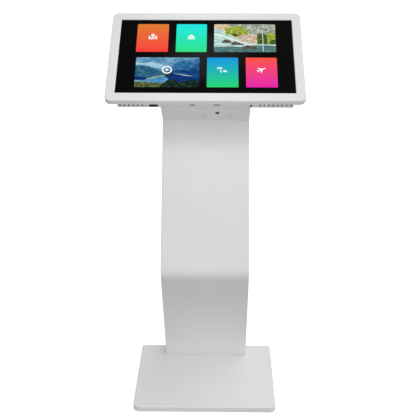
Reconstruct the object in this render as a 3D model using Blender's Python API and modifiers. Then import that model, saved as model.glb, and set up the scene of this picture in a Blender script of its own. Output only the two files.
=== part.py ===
"""Free-standing touchscreen kiosk: a weighted base plate, a folded sheet-steel column with one knee, and a
21.5 inch landscape touchscreen head tilted towards the visitor.

Units are metres.  The origin is the centre of the base's underside, +Z is up, the screen faces -Y and +X is
to the right of someone who stands in front of it.
"""
import math

import bmesh
import bpy
from mathutils import Matrix, Vector

# ---------------------------------------------------------------- driving dimensions
GAP = 0.0003                      # clearance between pieces that rest on each other

BASE_WIDTH = 0.400
BASE_DEPTH = 0.300
BASE_HEIGHT = 0.017
BASE_SHEET = 0.002
BASE_FRONT_RADIUS = 0.018
BASE_BACK_RADIUS = 0.004
BASE_EDGE_RADIUS = 0.0025
BASE_FLOOR_GAP = 0.0008           # the cover's lower rim stays off the floor
MAT_THICKNESS = 0.002
MAT_MARGIN = 0.012
BALLAST_THICKNESS = 0.012

COLUMN_WIDTH = 0.244
COLUMN_DEPTH = 0.048
COLUMN_SHEET = 0.002
COLUMN_FOLD_RADIUS = 0.0025
RETURN_WIDTH = 0.018              # how far the folded rear edges reach inwards
FOOT_FRONT_Y = 0.0981
LOWER_LENGTH = 0.3725
LOWER_LEAN = math.radians(-19.5)  # from upright; negative leans towards the visitor
UPPER_LENGTH = 0.4355
UPPER_LEAN = math.radians(31.85)
NECK_LENGTH = 0.0913
NECK_LEAN = math.radians(-49.3)
KNEE_RADIUS = 0.040
REAR_KNEE_RADIUS = 0.020
CREASE_RADIUS = 0.0025
REAR_CREASE_RADIUS = 0.010
HEAD_SEAT_LENGTH = 0.190          # how far up the head's back the column reaches

HEAD_TILT = math.radians(32.9)    # screen plane above horizontal
SCREEN_WIDTH = 0.480
SCREEN_HEIGHT = 0.272
SIDE_BEZEL = 0.0255
TOP_BEZEL = 0.0265
BOTTOM_BEZEL = 0.0280
HEAD_CORNER_RADIUS = 0.017
HEAD_EDGE_RADIUS = 0.002
SCREEN_CHAMFER = 0.0015
FRAME_FACE = 0.003
FRAME_WALL = 0.003
FRAME_DEPTH = 0.015
HEAD_DEPTH = 0.060
HOUSING_INSET = 0.0265
HOUSING_SHEET = 0.002
HOUSING_CORNER_RADIUS = 0.006
HOUSING_EDGE_RADIUS = 0.003
GLASS_THICKNESS = 0.003
PANEL_THICKNESS = 0.0055

COVER_SHEET = 0.0015
COVER_WIDTH = 0.225
DOOR_LOW = 0.084                  # along the lower rear face, from the base upwards
DOOR_HIGH = 0.3295
DOOR_LIP = 0.006
SEAM = 0.0015                     # visible gap between door and covers
LOCK_X = -0.086
LOCK_HEIGHT = 0.207
HINGE_X = 0.117
HINGE_RADIUS = 0.003
HINGE_HEIGHTS = {"lower": 0.125, "upper": 0.290}
KNUCKLE_LENGTH = 0.020

ROCKER_X = 0.040
INLET_X = -0.045
INLET_HEIGHT = 0.042
ROCKER_TILT = math.radians(7)

WALL_SLOT_WIDTH = 0.0034
WALL_SLOT_PITCH = 0.0120
MICROPHONE_X = 0.0903
BUTTON_X = 0.1225
BUTTON_DEPTH = -0.0505

# ---------------------------------------------------------------- scene, collections and materials
for old in list(bpy.data.objects):
    bpy.data.objects.remove(old, do_unlink=True)

KIOSK = bpy.data.collections.new("touchscreen_kiosk")
CUTTERS = bpy.data.collections.new("cutters")
for collection in (KIOSK, CUTTERS):
    bpy.context.scene.collection.children.link(collection)


def material(name, colour, roughness, metallic=0.0):
    """A Principled material of one colour."""
    made = bpy.data.materials.new(name)
    made.use_nodes = True
    shader = made.node_tree.nodes["Principled BSDF"]
    shader.inputs["Base Color"].default_value = (*colour, 1.0)
    shader.inputs["Roughness"].default_value = roughness
    shader.inputs["Metallic"].default_value = metallic
    made.diffuse_color = (*colour, 1.0)
    return made


WHITE_STEEL = material("white_powder_coat", (0.80, 0.81, 0.82), 0.45)
DARK_GLASS = material("screen_glass", (0.010, 0.011, 0.013), 0.06)
PANEL_GREY = material("panel_metal", (0.45, 0.46, 0.47), 0.40, 0.9)
ZINC = material("zinc_plated_steel", (0.62, 0.63, 0.64), 0.35, 1.0)
BLACK_PLASTIC = material("black_plastic", (0.020, 0.020, 0.022), 0.45)
BLACK_GLOSS = material("black_window", (0.008, 0.008, 0.010), 0.10)
RUBBER = material("black_rubber", (0.025, 0.025, 0.025), 0.80)
BOARD_GREEN = material("circuit_board", (0.020, 0.130, 0.060), 0.50)
ALUMINIUM = material("aluminium", (0.70, 0.71, 0.72), 0.35, 1.0)
BALLAST_STEEL = material("ballast_steel", (0.12, 0.12, 0.13), 0.55, 0.8)
CABLE_BLACK = material("cable_sheath", (0.015, 0.015, 0.016), 0.55)


# ---------------------------------------------------------------- side-view geometry, as (y, z) points
def direction(lean):
    """Unit vector in side view that leans from upright, positive towards the back."""
    return Vector((math.sin(lean), math.cos(lean)))


def right_of(vector):
    """The unit normal on the right-hand side of a side-view direction."""
    return Vector((vector.y, -vector.x)).normalized()


def meet(point, along, other_point, other_along):
    """Where two side-view lines cross."""
    cross = along.x * other_along.y - along.y * other_along.x
    between = other_point - point
    reach = (between.x * other_along.y - between.y * other_along.x) / cross
    return point + along * reach


def offset_path(points, radii, distance):
    """An open path moved to its right by distance, with its corners and corner radii carried along."""
    steps = [(b - a).normalized() for a, b in zip(points, points[1:])]
    moved = [points[0] + right_of(steps[0]) * distance]
    new_radii = [0.0]
    for index in range(1, len(points) - 1):
        before, after = steps[index - 1], steps[index]
        corner = meet(points[index] + right_of(before) * distance, before,
                      points[index] + right_of(after) * distance, after)
        turns_right = before.x * after.y - before.y * after.x < 0
        moved.append(corner)
        new_radii.append(max(0.0, radii[index] - distance if turns_right else radii[index] + distance))
    moved.append(points[-1] + right_of(steps[-1]) * distance)
    new_radii.append(0.0)
    return moved, new_radii


def rounded(points, radii, closed, segments=8):
    """The outline through points, with an arc of the given radius in place of each corner."""
    made = []
    count = len(points)
    for index, point in enumerate(points):
        radius = radii[index]
        at_end = not closed and index in (0, count - 1)
        if at_end or radius <= 0:
            made.append(Vector(point))
            continue
        back = (points[index - 1] - point).normalized()
        ahead = (points[(index + 1) % count] - point).normalized()
        half = math.acos(max(-1.0, min(1.0, back.dot(ahead)))) / 2
        start = point + back * (radius / math.tan(half))
        centre = point + (back + ahead).normalized() * (radius / math.sin(half))
        turn = math.pi - 2 * half
        sense = 1.0 if back.x * ahead.y - back.y * ahead.x < 0 else -1.0
        arm = start - centre
        for step in range(segments + 1):
            angle = sense * turn * step / segments
            cos, sin = math.cos(angle), math.sin(angle)
            made.append(centre + Vector((arm.x * cos - arm.y * sin, arm.x * sin + arm.y * cos)))
    return made


def band(points, radii, low, high):
    """Closed outline of a strip that follows a path, between two distances to its right."""
    near_points, near_radii = offset_path(points, radii, low)
    far_points, far_radii = offset_path(points, radii, high)
    return rounded(near_points, near_radii, False) + rounded(far_points, far_radii, False)[::-1]


def stretched(points, before, after):
    """A path whose first and last legs are made longer."""
    first = (points[0] - points[1]).normalized()
    last = (points[-1] - points[-2]).normalized()
    return [points[0] + first * before] + list(points[1:-1]) + [points[-1] + last * after]


def rectangle(width, height, centre=(0.0, 0.0), radius=0.0, segments=6):
    """A rectangle's outline, with rounded corners."""
    x, y = centre
    signs = ((-1, -1), (1, -1), (1, 1), (-1, 1))
    corners = [Vector((x + sx * width / 2, y + sy * height / 2)) for sx, sy in signs]
    return rounded(corners, [radius] * 4, True, segments)


BASE_TOP = BASE_HEIGHT + GAP
LOWER_WAY = direction(LOWER_LEAN)
UPPER_WAY = direction(UPPER_LEAN)
FOOT = Vector((FOOT_FRONT_Y, BASE_HEIGHT))
KNEE = FOOT + LOWER_WAY * LOWER_LENGTH              # where the two slopes would meet
CREASE = KNEE + UPPER_WAY * UPPER_LENGTH
NECK_TOP = CREASE + direction(NECK_LEAN) * NECK_LENGTH
SLOPE = Vector((math.cos(HEAD_TILT), math.sin(HEAD_TILT)))
FACING = Vector((-math.sin(HEAD_TILT), math.cos(HEAD_TILT)))
SCREEN_FOOT = NECK_TOP + FACING * HEAD_DEPTH


def head_side(up_screen, out):
    """Side-view point from its distance up the screen and out of the screen's front plane."""
    return SCREEN_FOOT + SLOPE * up_screen + FACING * out


FRONT_PATH = [FOOT + LOWER_WAY * (GAP / LOWER_WAY.y), KNEE, CREASE, head_side(0.0, -HEAD_DEPTH - GAP)]
FRONT_RADII = [0.0, KNEE_RADIUS, CREASE_RADIUS, 0.0]
REAR_FOOT = Vector((FOOT_FRONT_Y + COLUMN_DEPTH / LOWER_WAY.y, BASE_HEIGHT))
REAR_KNEE = offset_path([FOOT, KNEE, CREASE], [0.0] * 3, COLUMN_DEPTH)[0][1]
REAR_CREASE = CREASE + right_of(UPPER_WAY) * COLUMN_DEPTH
REAR_PATH = [REAR_FOOT + LOWER_WAY * (GAP / LOWER_WAY.y), REAR_KNEE, REAR_CREASE,
             head_side(HEAD_SEAT_LENGTH, -HEAD_DEPTH - GAP)]
REAR_RADII = [0.0, REAR_KNEE_RADIUS, REAR_CREASE_RADIUS, 0.0]


# ---------------------------------------------------------------- frames that the pieces are placed in
def add_frame(name, matrix):
    """An empty that pieces are parented to."""
    empty = bpy.data.objects.new(name, None)
    empty.matrix_world = matrix
    empty.hide_render = True
    KIOSK.objects.link(empty)
    return empty


def tilted(name, origin, angle):
    """A frame with local Y in the side view at an angle above horizontal and local X along world X."""
    place = Matrix.Translation((0.0, origin.x, origin.y))
    return add_frame(name, place @ Matrix.Rotation(angle, 4, "X"))


UPRIGHT = math.pi / 2
WORLD = add_frame("kiosk_frame", Matrix.Identity(4))
HEAD = tilted("head_frame", SCREEN_FOOT, HEAD_TILT)
LOWER_REAR = tilted("lower_rear_frame", REAR_FOOT, UPRIGHT - LOWER_LEAN)    # local -Z points out at the back
UPPER_REAR = tilted("upper_rear_frame", REAR_KNEE, UPRIGHT - UPPER_LEAN)
NECK = tilted("neck_frame", CREASE, UPRIGHT - NECK_LEAN)                   # local +Z points out at the front
SIDE_VIEW = add_frame("side_view_frame", Matrix(((0, 0, 1, 0), (1, 0, 0, 0), (0, 1, 0, 0), (0, 0, 0, 1))))


# ---------------------------------------------------------------- modelling helpers
def place(obj, frame, finish):
    """Give an object its parent frame, its collection and its material; a cutter has no material."""
    obj.parent = frame
    if finish is None:
        CUTTERS.objects.link(obj)
        obj.hide_render = True
        obj.display_type = "WIRE"
    else:
        KIOSK.objects.link(obj)
        obj.data.materials.clear()
        obj.data.materials.append(finish)
    return obj


def object_from(bm, name, frame, finish):
    """Turn a bmesh into a placed object."""
    bmesh.ops.recalc_face_normals(bm, faces=bm.faces)
    mesh = bpy.data.meshes.new(name)
    bm.to_mesh(mesh)
    bm.free()
    return place(bpy.data.objects.new(name, mesh), frame, finish)


def solid_from_curve(curve, name, frame, finish, shift=0.0):
    """A welded mesh object made from a curve's evaluated surface."""
    source = bpy.data.objects.new(name + "_outline", curve)
    bpy.context.scene.collection.objects.link(source)
    graph = bpy.context.evaluated_depsgraph_get()
    mesh = bpy.data.meshes.new_from_object(source.evaluated_get(graph))
    bm = bmesh.new()
    bm.from_mesh(mesh)
    bmesh.ops.remove_doubles(bm, verts=bm.verts, dist=1e-6)
    bmesh.ops.dissolve_limit(bm, angle_limit=0.0005, verts=bm.verts, edges=bm.edges)
    bmesh.ops.translate(bm, verts=bm.verts, vec=(0.0, 0.0, shift))
    bpy.data.objects.remove(source)
    bpy.data.meshes.remove(mesh)
    bpy.data.curves.remove(curve)
    return object_from(bm, name, frame, finish)


def extruded(name, loops, low, high, frame, finish):
    """A solid between two local heights, from one closed outline and any holes in it."""
    curve = bpy.data.curves.new(name, "CURVE")
    curve.dimensions = "2D"
    curve.fill_mode = "BOTH"
    curve.extrude = (high - low) / 2
    for loop in loops:
        spline = curve.splines.new("POLY")
        spline.points.add(len(loop) - 1)
        for point, corner in zip(spline.points, loop):
            point.co = (corner.x, corner.y, 0.0, 1.0)
        spline.use_cyclic_u = True
    return solid_from_curve(curve, name, frame, finish, (high + low) / 2)


def block(name, low, high, frame, finish):
    """A rectangular block between two corners."""
    bm = bmesh.new()
    bmesh.ops.create_cube(bm, size=1.0)
    size = Vector(high) - Vector(low)
    bmesh.ops.scale(bm, verts=bm.verts, vec=size)
    bmesh.ops.translate(bm, verts=bm.verts, vec=(Vector(high) + Vector(low)) / 2)
    return object_from(bm, name, frame, finish)


def rod(name, radius, start, end, frame, finish, sides=20):
    """A straight cylinder between two local points."""
    axis = Vector(end) - Vector(start)
    bm = bmesh.new()
    bmesh.ops.create_cone(bm, cap_ends=True, segments=sides, radius1=radius, radius2=radius,
                          depth=axis.length)
    turn = Vector((0, 0, 1)).rotation_difference(axis).to_matrix()
    bmesh.ops.rotate(bm, verts=bm.verts, matrix=turn)
    bmesh.ops.translate(bm, verts=bm.verts, vec=(Vector(start) + Vector(end)) / 2)
    return object_from(bm, name, frame, finish)


def turned(name, profile, centre, way, frame, finish, steps=20, ring=False):
    """A turned piece: a (radius, height) profile that runs down its outer side, spun round local Z.

    centre is where the profile's axis starts and way is the local direction of its height.
    A ring's profile is a closed loop that stays off the axis.
    """
    bm = bmesh.new()
    corners = [bm.verts.new((radius, 0.0, height)) for radius, height in profile]
    pairs = list(zip(corners, corners[1:]))
    if ring:
        pairs.append((corners[-1], corners[0]))
    for pair in pairs:
        bm.edges.new(pair)
    mesh = bpy.data.meshes.new(name)
    bm.to_mesh(mesh)
    bm.free()
    made = place(bpy.data.objects.new(name, mesh), frame, finish)
    made.location = centre
    made.rotation_euler = Vector((0, 0, 1)).rotation_difference(Vector(way)).to_euler()
    spin = made.modifiers.new("spin", "SCREW")
    spin.steps = steps
    spin.render_steps = steps
    spin.use_merge_vertices = True
    spin.merge_threshold = 1e-5
    return made


def screw(name, head_radius, head_height, shank_radius, shank_length, centre, way, frame):
    """A pan-head screw whose head sits on centre and points along way."""
    edge = head_height * 0.45
    profile = [(0.0, head_height), (head_radius - edge, head_height), (head_radius, head_height - edge),
               (head_radius, 0.0), (shank_radius, 0.0), (shank_radius, -shank_length), (0.0, -shank_length)]
    return turned(name, profile, centre, way, frame, ZINC, 16)


def combine(obj, tool, operation):
    """Cut one object by another, or join another into it."""
    step = obj.modifiers.new(operation.lower(), "BOOLEAN")
    step.operation = operation
    step.object = tool
    step.solver = "EXACT"
    return obj


def cut(obj, *tools):
    """Take cutters away from an object."""
    for tool in tools:
        combine(obj, tool, "DIFFERENCE")
    return obj


def join(obj, *tools):
    """Join helper solids into an object."""
    for tool in tools:
        combine(obj, tool, "UNION")
    return obj


def round_edges(obj, radius, segments, wanted):
    """Round the mesh edges that a test on their two end points picks."""
    bm = bmesh.new()
    bm.from_mesh(obj.data)
    weight = bm.edges.layers.float.new("bevel_weight_edge")
    for edge in bm.edges:
        ends = [vert.co for vert in edge.verts]
        folds = edge.calc_face_angle(0.0) > math.radians(50)
        edge[weight] = 1.0 if folds and wanted(*ends) else 0.0
    bm.to_mesh(obj.data)
    bm.free()
    bevel = obj.modifiers.new("rounded_edges", "BEVEL")
    bevel.limit_method = "WEIGHT"
    bevel.width = radius
    bevel.segments = segments
    bevel.use_clamp_overlap = False
    return obj


def soften(obj, radius, segments=2):
    """Round every sharp edge of a piece a little."""
    bevel = obj.modifiers.new("soft_edges", "BEVEL")
    bevel.limit_method = "ANGLE"
    bevel.angle_limit = math.radians(40)
    bevel.width = radius
    bevel.segments = segments
    return obj


def through_spline(points, per_leg):
    """Points on a smooth curve through hand-chosen points."""
    ends = [points[0] * 2 - points[1]] + list(points) + [points[-1] * 2 - points[-2]]
    made = []
    for a, b, c, d in zip(ends, ends[1:], ends[2:], ends[3:]):
        for step in range(per_leg):
            t = step / per_leg
            made.append(0.5 * ((2 * b) + (c - a) * t + (2 * a - 5 * b + 4 * c - d) * t * t
                               + (3 * b - a - 3 * c + d) * t * t * t))
    return made + [points[-1]]


def cable(name, points, diameter, frame):
    """A round cable through hand-chosen points."""
    curve = bpy.data.curves.new(name, "CURVE")
    curve.dimensions = "3D"
    curve.bevel_depth = diameter / 2
    curve.bevel_resolution = 2
    curve.use_fill_caps = True
    route = through_spline([Vector(point) for point in points], 4)
    spline = curve.splines.new("POLY")
    spline.points.add(len(route) - 1)
    for point, corner in zip(spline.points, route):
        point.co = (*corner, 1.0)
    return place(bpy.data.objects.new(name, curve), frame, CABLE_BLACK)


# ---------------------------------------------------------------- base
def base_outline(inset):
    """The base's plan, moved in by inset: wide round corners in front, tight ones at the back."""
    half_width = BASE_WIDTH / 2 - inset
    half_depth = BASE_DEPTH / 2 - inset
    corners = [Vector((-half_width, -half_depth)), Vector((half_width, -half_depth)),
               Vector((half_width, half_depth)), Vector((-half_width, half_depth))]
    front = BASE_FRONT_RADIUS - inset
    back = max(BASE_BACK_RADIUS - inset, 0.001)
    return rounded(corners, [front, front, back, back], True)


FOOT_BOLT_Y = FOOT_FRONT_Y + 0.0245
FOOT_BOLT_XS = (-0.090, -0.040, 0.040, 0.090)
BOLT_RADIUS = 0.003
FLANGE_THICKNESS = 0.003


def build_base():
    """Rubber mat, ballast plate, steel cover and the bolts that hold the column down."""
    block("floor_mat", (-BASE_WIDTH / 2 + MAT_MARGIN, -BASE_DEPTH / 2 + MAT_MARGIN, 0.0),
          (BASE_WIDTH / 2 - MAT_MARGIN, BASE_DEPTH / 2 - MAT_MARGIN, MAT_THICKNESS), WORLD, RUBBER)
    ballast_low = MAT_THICKNESS + GAP
    ballast = extruded("ballast_plate", [base_outline(BASE_SHEET + 2 * GAP)], ballast_low,
                       ballast_low + BALLAST_THICKNESS, WORLD, BALLAST_STEEL)
    cover = extruded("base_cover", [base_outline(0.0)], BASE_FLOOR_GAP, BASE_HEIGHT, WORLD, WHITE_STEEL)
    round_edges(cover, BASE_EDGE_RADIUS, 3,
                lambda a, b: min(a.z, b.z) > BASE_HEIGHT - 1e-5)
    cut(cover, extruded("base_hollow", [base_outline(BASE_SHEET)], -0.01, BASE_HEIGHT - BASE_SHEET, WORLD,
                        None))

    flange_low = BASE_TOP
    flange_high = flange_low + FLANGE_THICKNESS
    half = COLUMN_WIDTH / 2 - COLUMN_SHEET - 2 * GAP
    flange = block("foot_flange", (-half, FOOT_FRONT_Y + 0.0027, flange_low),
                   (half, REAR_FOOT.x - 0.0037, flange_high), WORLD, ZINC)
    for index, x in enumerate(FOOT_BOLT_XS, start=1):
        hole = rod(f"foot_bolt_hole_{index}", BOLT_RADIUS + GAP, (x, FOOT_BOLT_Y, -0.01),
                   (x, FOOT_BOLT_Y, 0.04), WORLD, None)
        for piece in (ballast, cover, flange):
            cut(piece, hole)
        bolt = rod(f"foot_bolt_{index}", 0.0055, (x, FOOT_BOLT_Y, flange_high + GAP),
                   (x, FOOT_BOLT_Y, flange_high + GAP + 0.004), WORLD, ZINC, 6)
        shank = rod(f"foot_bolt_shank_{index}", BOLT_RADIUS, (x, FOOT_BOLT_Y, 0.005),
                    (x, FOOT_BOLT_Y, flange_high + GAP + 0.002), WORLD, None)
        join(bolt, shank)


# ---------------------------------------------------------------- column
UPPER_SCREW_HEIGHTS = (0.030, 0.395)    # along the upper rear face, from the knee
LOWER_SCREW_HEIGHT = 0.042
COVER_SCREW_X = 0.1085
SCREW_HOLE = 0.0018
SERVICE_X = 0.032
SERVICE_HEIGHT = 0.0360                 # plate centre above the crease
SERVICE_SIZE = (0.077, 0.054)
SERVICE_SCREW_REACH = 0.0325
WINDOW_SIZE = (0.0105, 0.015)
WINDOW_HEIGHT = 0.0530
COVER_SKIN = (-GAP - COVER_SHEET, -GAP)     # local Z span of a cover on the back
VESA_HALF = 0.050
VESA_CENTRE = 0.094
VESA_HOLE = 0.0023
CABLE_HOLE = 0.016


def cover_screw_holes(frame, label, heights):
    """Cutters for the screws that hold a rear cover on."""
    return [rod(f"{label}_hole_{side}_{index}", SCREW_HOLE, (x, height, -0.01), (x, height, 0.01),
                frame, None, 12)
            for side, x in (("left", -COVER_SCREW_X), ("right", COVER_SCREW_X))
            for index, height in enumerate(heights, start=1)]


def cover_screws(frame, label, heights):
    """The screws of a rear cover."""
    for side, x in (("left", -COVER_SCREW_X), ("right", COVER_SCREW_X)):
        for index, height in enumerate(heights, start=1):
            screw(f"{label}_screw_{side}_{index}", 0.0032, 0.0018, SCREW_HOLE - GAP, 0.007,
                  (x, height, COVER_SKIN[0] - GAP), (0, 0, -1), frame)


def build_column():
    """The folded C-section shell that everything hangs on."""
    half = COLUMN_WIDTH / 2
    outer = rounded(FRONT_PATH, FRONT_RADII, False, 10) + rounded(REAR_PATH, REAR_RADII, False)[::-1]
    shell = extruded("column_shell", [outer], -half, half, SIDE_VIEW, WHITE_STEEL)

    def along_the_column(a, b):
        """Long edges of the side faces, without the ends at the base and at the head."""
        if abs(a.z - b.z) > 1e-6:
            return False
        at_base = max(a.y, b.y) < BASE_TOP + 1e-5
        seat = [Vector((end.x, end.y)) - SCREEN_FOOT for end in (a, b)]
        at_head = all(end.dot(FACING) > -HEAD_DEPTH - 2 * GAP for end in seat)
        return not at_base and not at_head

    round_edges(shell, COLUMN_FOLD_RADIUS, 3, along_the_column)

    inner_front = offset_path(stretched(FRONT_PATH, 0.02, 0.02), FRONT_RADII, COLUMN_SHEET)
    inner_rear = offset_path(stretched(REAR_PATH, 0.02, 0.02), REAR_RADII, -COLUMN_SHEET)
    hollow = rounded(*inner_front, False, 10) + rounded(*inner_rear, False)[::-1]
    inside = half - COLUMN_SHEET
    cut(shell, extruded("column_hollow", [hollow], -inside, inside, SIDE_VIEW, None))
    opening = band(stretched(REAR_PATH, 0.02, 0.02), REAR_RADII, -0.006, 0.006)
    reach = half - RETURN_WIDTH
    cut(shell, extruded("column_rear_opening", [opening], -reach, reach, SIDE_VIEW, None))
    side = SERVICE_SIZE[0] / 2 + 0.0004
    rise = SERVICE_SIZE[1] / 2 + 0.0004
    cut(shell, block("service_opening", (SERVICE_X - side, SERVICE_HEIGHT - rise, -0.006),
                     (SERVICE_X + side, SERVICE_HEIGHT + rise, 0.006), NECK, None))
    upper_holes = cover_screw_holes(UPPER_REAR, "upper_cover", UPPER_SCREW_HEIGHTS)
    lower_holes = cover_screw_holes(LOWER_REAR, "lower_cover", (LOWER_SCREW_HEIGHT,))
    cut(shell, *upper_holes, *lower_holes)
    return upper_holes, lower_holes


def build_rear_covers(upper_holes, lower_holes):
    """The bent upper cover, the short lower cover and their screws."""
    half = COVER_WIDTH / 2
    start = REAR_FOOT + LOWER_WAY * (DOOR_HIGH + SEAM)
    top = REAR_PATH[-1] + (REAR_CREASE - REAR_PATH[-1]).normalized() * 0.003
    strip = band([start, REAR_KNEE, REAR_CREASE, top], REAR_RADII, GAP, GAP + COVER_SHEET)
    upper = extruded("rear_cover_upper", [strip], -half, half, SIDE_VIEW, WHITE_STEEL)
    cut(upper, *upper_holes)
    cover_screws(UPPER_REAR, "upper_cover", UPPER_SCREW_HEIGHTS)

    high = DOOR_LOW - SEAM
    lower_outline = rectangle(COVER_WIDTH, high - 0.001, (0.0, (high + 0.001) / 2), 0.001, 2)
    lower = extruded("rear_cover_lower", [lower_outline], *COVER_SKIN, LOWER_REAR, WHITE_STEEL)
    cut(lower, *lower_holes)
    cut(lower, block("inlet_opening", (INLET_X - 0.0140, INLET_HEIGHT - 0.0103, -0.01),
                     (INLET_X + 0.0140, INLET_HEIGHT + 0.0103, 0.01), LOWER_REAR, None))
    cut(lower, block("switch_opening", (ROCKER_X - 0.0070, INLET_HEIGHT - 0.0098, -0.01),
                     (ROCKER_X + 0.0070, INLET_HEIGHT + 0.0098, 0.01), LOWER_REAR, None))
    cover_screws(LOWER_REAR, "lower_cover", (LOWER_SCREW_HEIGHT,))


def build_door():
    """The hinged access door on the lower rear face, with its folded lip."""
    half = COVER_WIDTH / 2
    middle = (DOOR_LOW + DOOR_HIGH) / 2
    length = DOOR_HIGH - DOOR_LOW
    door = extruded("access_door", [rectangle(COVER_WIDTH, length, (0.0, middle), 0.002, 3)],
                    *COVER_SKIN, LOWER_REAR, WHITE_STEEL)
    lip = block("door_lip", (-half + 0.0125, DOOR_LOW + 0.008, COVER_SKIN[0] + 0.0005),
                (half - 0.0125, DOOR_HIGH - 0.008, DOOR_LIP), LOWER_REAR, None)
    pan = block("door_pan", (-half + 0.0140, DOOR_LOW + 0.0095, COVER_SKIN[1]),
                (half - 0.0140, DOOR_HIGH - 0.0095, DOOR_LIP + 0.01), LOWER_REAR, None)
    cam_way = block("cam_notch", (-half - 0.001, LOCK_HEIGHT - 0.028, COVER_SKIN[1] + 0.0004),
                    (-half + 0.020, LOCK_HEIGHT + 0.010, DOOR_LIP + 0.01), LOWER_REAR, None)
    lock_hole = rod("lock_hole", 0.0083, (LOCK_X, LOCK_HEIGHT, -0.01), (LOCK_X, LOCK_HEIGHT, 0.01),
                    LOWER_REAR, None)
    join(door, lip)
    cut(door, pan, cam_way, lock_hole)


def build_hinges():
    """Two weld-on hinges along the door's right edge: a fixed knuckle, a door knuckle and a pin each."""
    axis_z = -GAP - HINGE_RADIUS
    bore = HINGE_RADIUS * 0.6
    for label, height in HINGE_HEIGHTS.items():
        hole = rod(f"{label}_hinge_bore", bore, (HINGE_X, height - 0.03, axis_z),
                   (HINGE_X, height + 0.03, axis_z), LOWER_REAR, None, 16)
        fixed = rod(f"{label}_hinge_fixed_knuckle", HINGE_RADIUS, (HINGE_X, height - KNUCKLE_LENGTH, axis_z),
                    (HINGE_X, height - GAP, axis_z), LOWER_REAR, ZINC, 16)
        foot = block(f"{label}_hinge_foot",
                     (HINGE_X - 0.0034, height - KNUCKLE_LENGTH + 0.001, -GAP - 0.0012),
                     (HINGE_X + 0.0034, height - 0.002, -GAP), LOWER_REAR, None)
        join(fixed, foot)
        cut(fixed, hole)
        swing = rod(f"{label}_hinge_door_knuckle", HINGE_RADIUS, (HINGE_X, height + GAP, axis_z),
                    (HINGE_X, height + KNUCKLE_LENGTH, axis_z), LOWER_REAR, ZINC, 16)
        leaf = block(f"{label}_hinge_leaf", (HINGE_X - 0.024, height + 0.001, COVER_SKIN[0] - GAP - 0.0015),
                     (HINGE_X, height + KNUCKLE_LENGTH - 0.001, COVER_SKIN[0] - GAP), LOWER_REAR, None)
        join(swing, leaf)
        cut(swing, hole)
        turned(f"{label}_hinge_pin",
               [(0.0, 0.0225), (0.0008, 0.0225), (bore - GAP, 0.0217), (bore - GAP, -0.0215), (0.0, -0.0215)],
               (HINGE_X, height, axis_z), (0, 1, 0), LOWER_REAR, ZINC, 14)


def build_lock():
    """A quarter-turn cam lock near the door's free edge, drawn unlocked with its cam hanging down."""
    centre = (LOCK_X, LOCK_HEIGHT, 0.0)
    outside = -COVER_SKIN[0] + GAP
    flange = outside + 0.0022
    turned("lock_barrel", [(0.0055, flange), (0.0092, flange), (0.0100, flange - 0.0008), (0.0100, outside),
                           (0.0080, outside), (0.0080, -0.0020), (0.0055, -0.0020)],
           centre, (0, 0, -1), LOWER_REAR, ZINC, 24, True)
    plug = rod("lock_plug", 0.0052, (LOCK_X, LOCK_HEIGHT, 0.0021), (LOCK_X, LOCK_HEIGHT, -flange - 0.0002),
               LOWER_REAR, ZINC)
    cut(plug, block("key_slot", (LOCK_X - 0.0006, LOCK_HEIGHT - 0.0030, -flange - 0.002),
                    (LOCK_X + 0.0006, LOCK_HEIGHT + 0.0030, -0.001), LOWER_REAR, None))
    cam_corners = ((-0.006, -0.024), (0.006, -0.024), (0.006, 0.006), (-0.006, 0.006))
    cam_outline = [Vector((LOCK_X + dx, LOCK_HEIGHT + dy)) for dx, dy in cam_corners]
    extruded("lock_cam", [rounded(cam_outline, [0.002, 0.002, 0.0055, 0.0055], True, 5)],
             0.0026, 0.0041, LOWER_REAR, ZINC)


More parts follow.
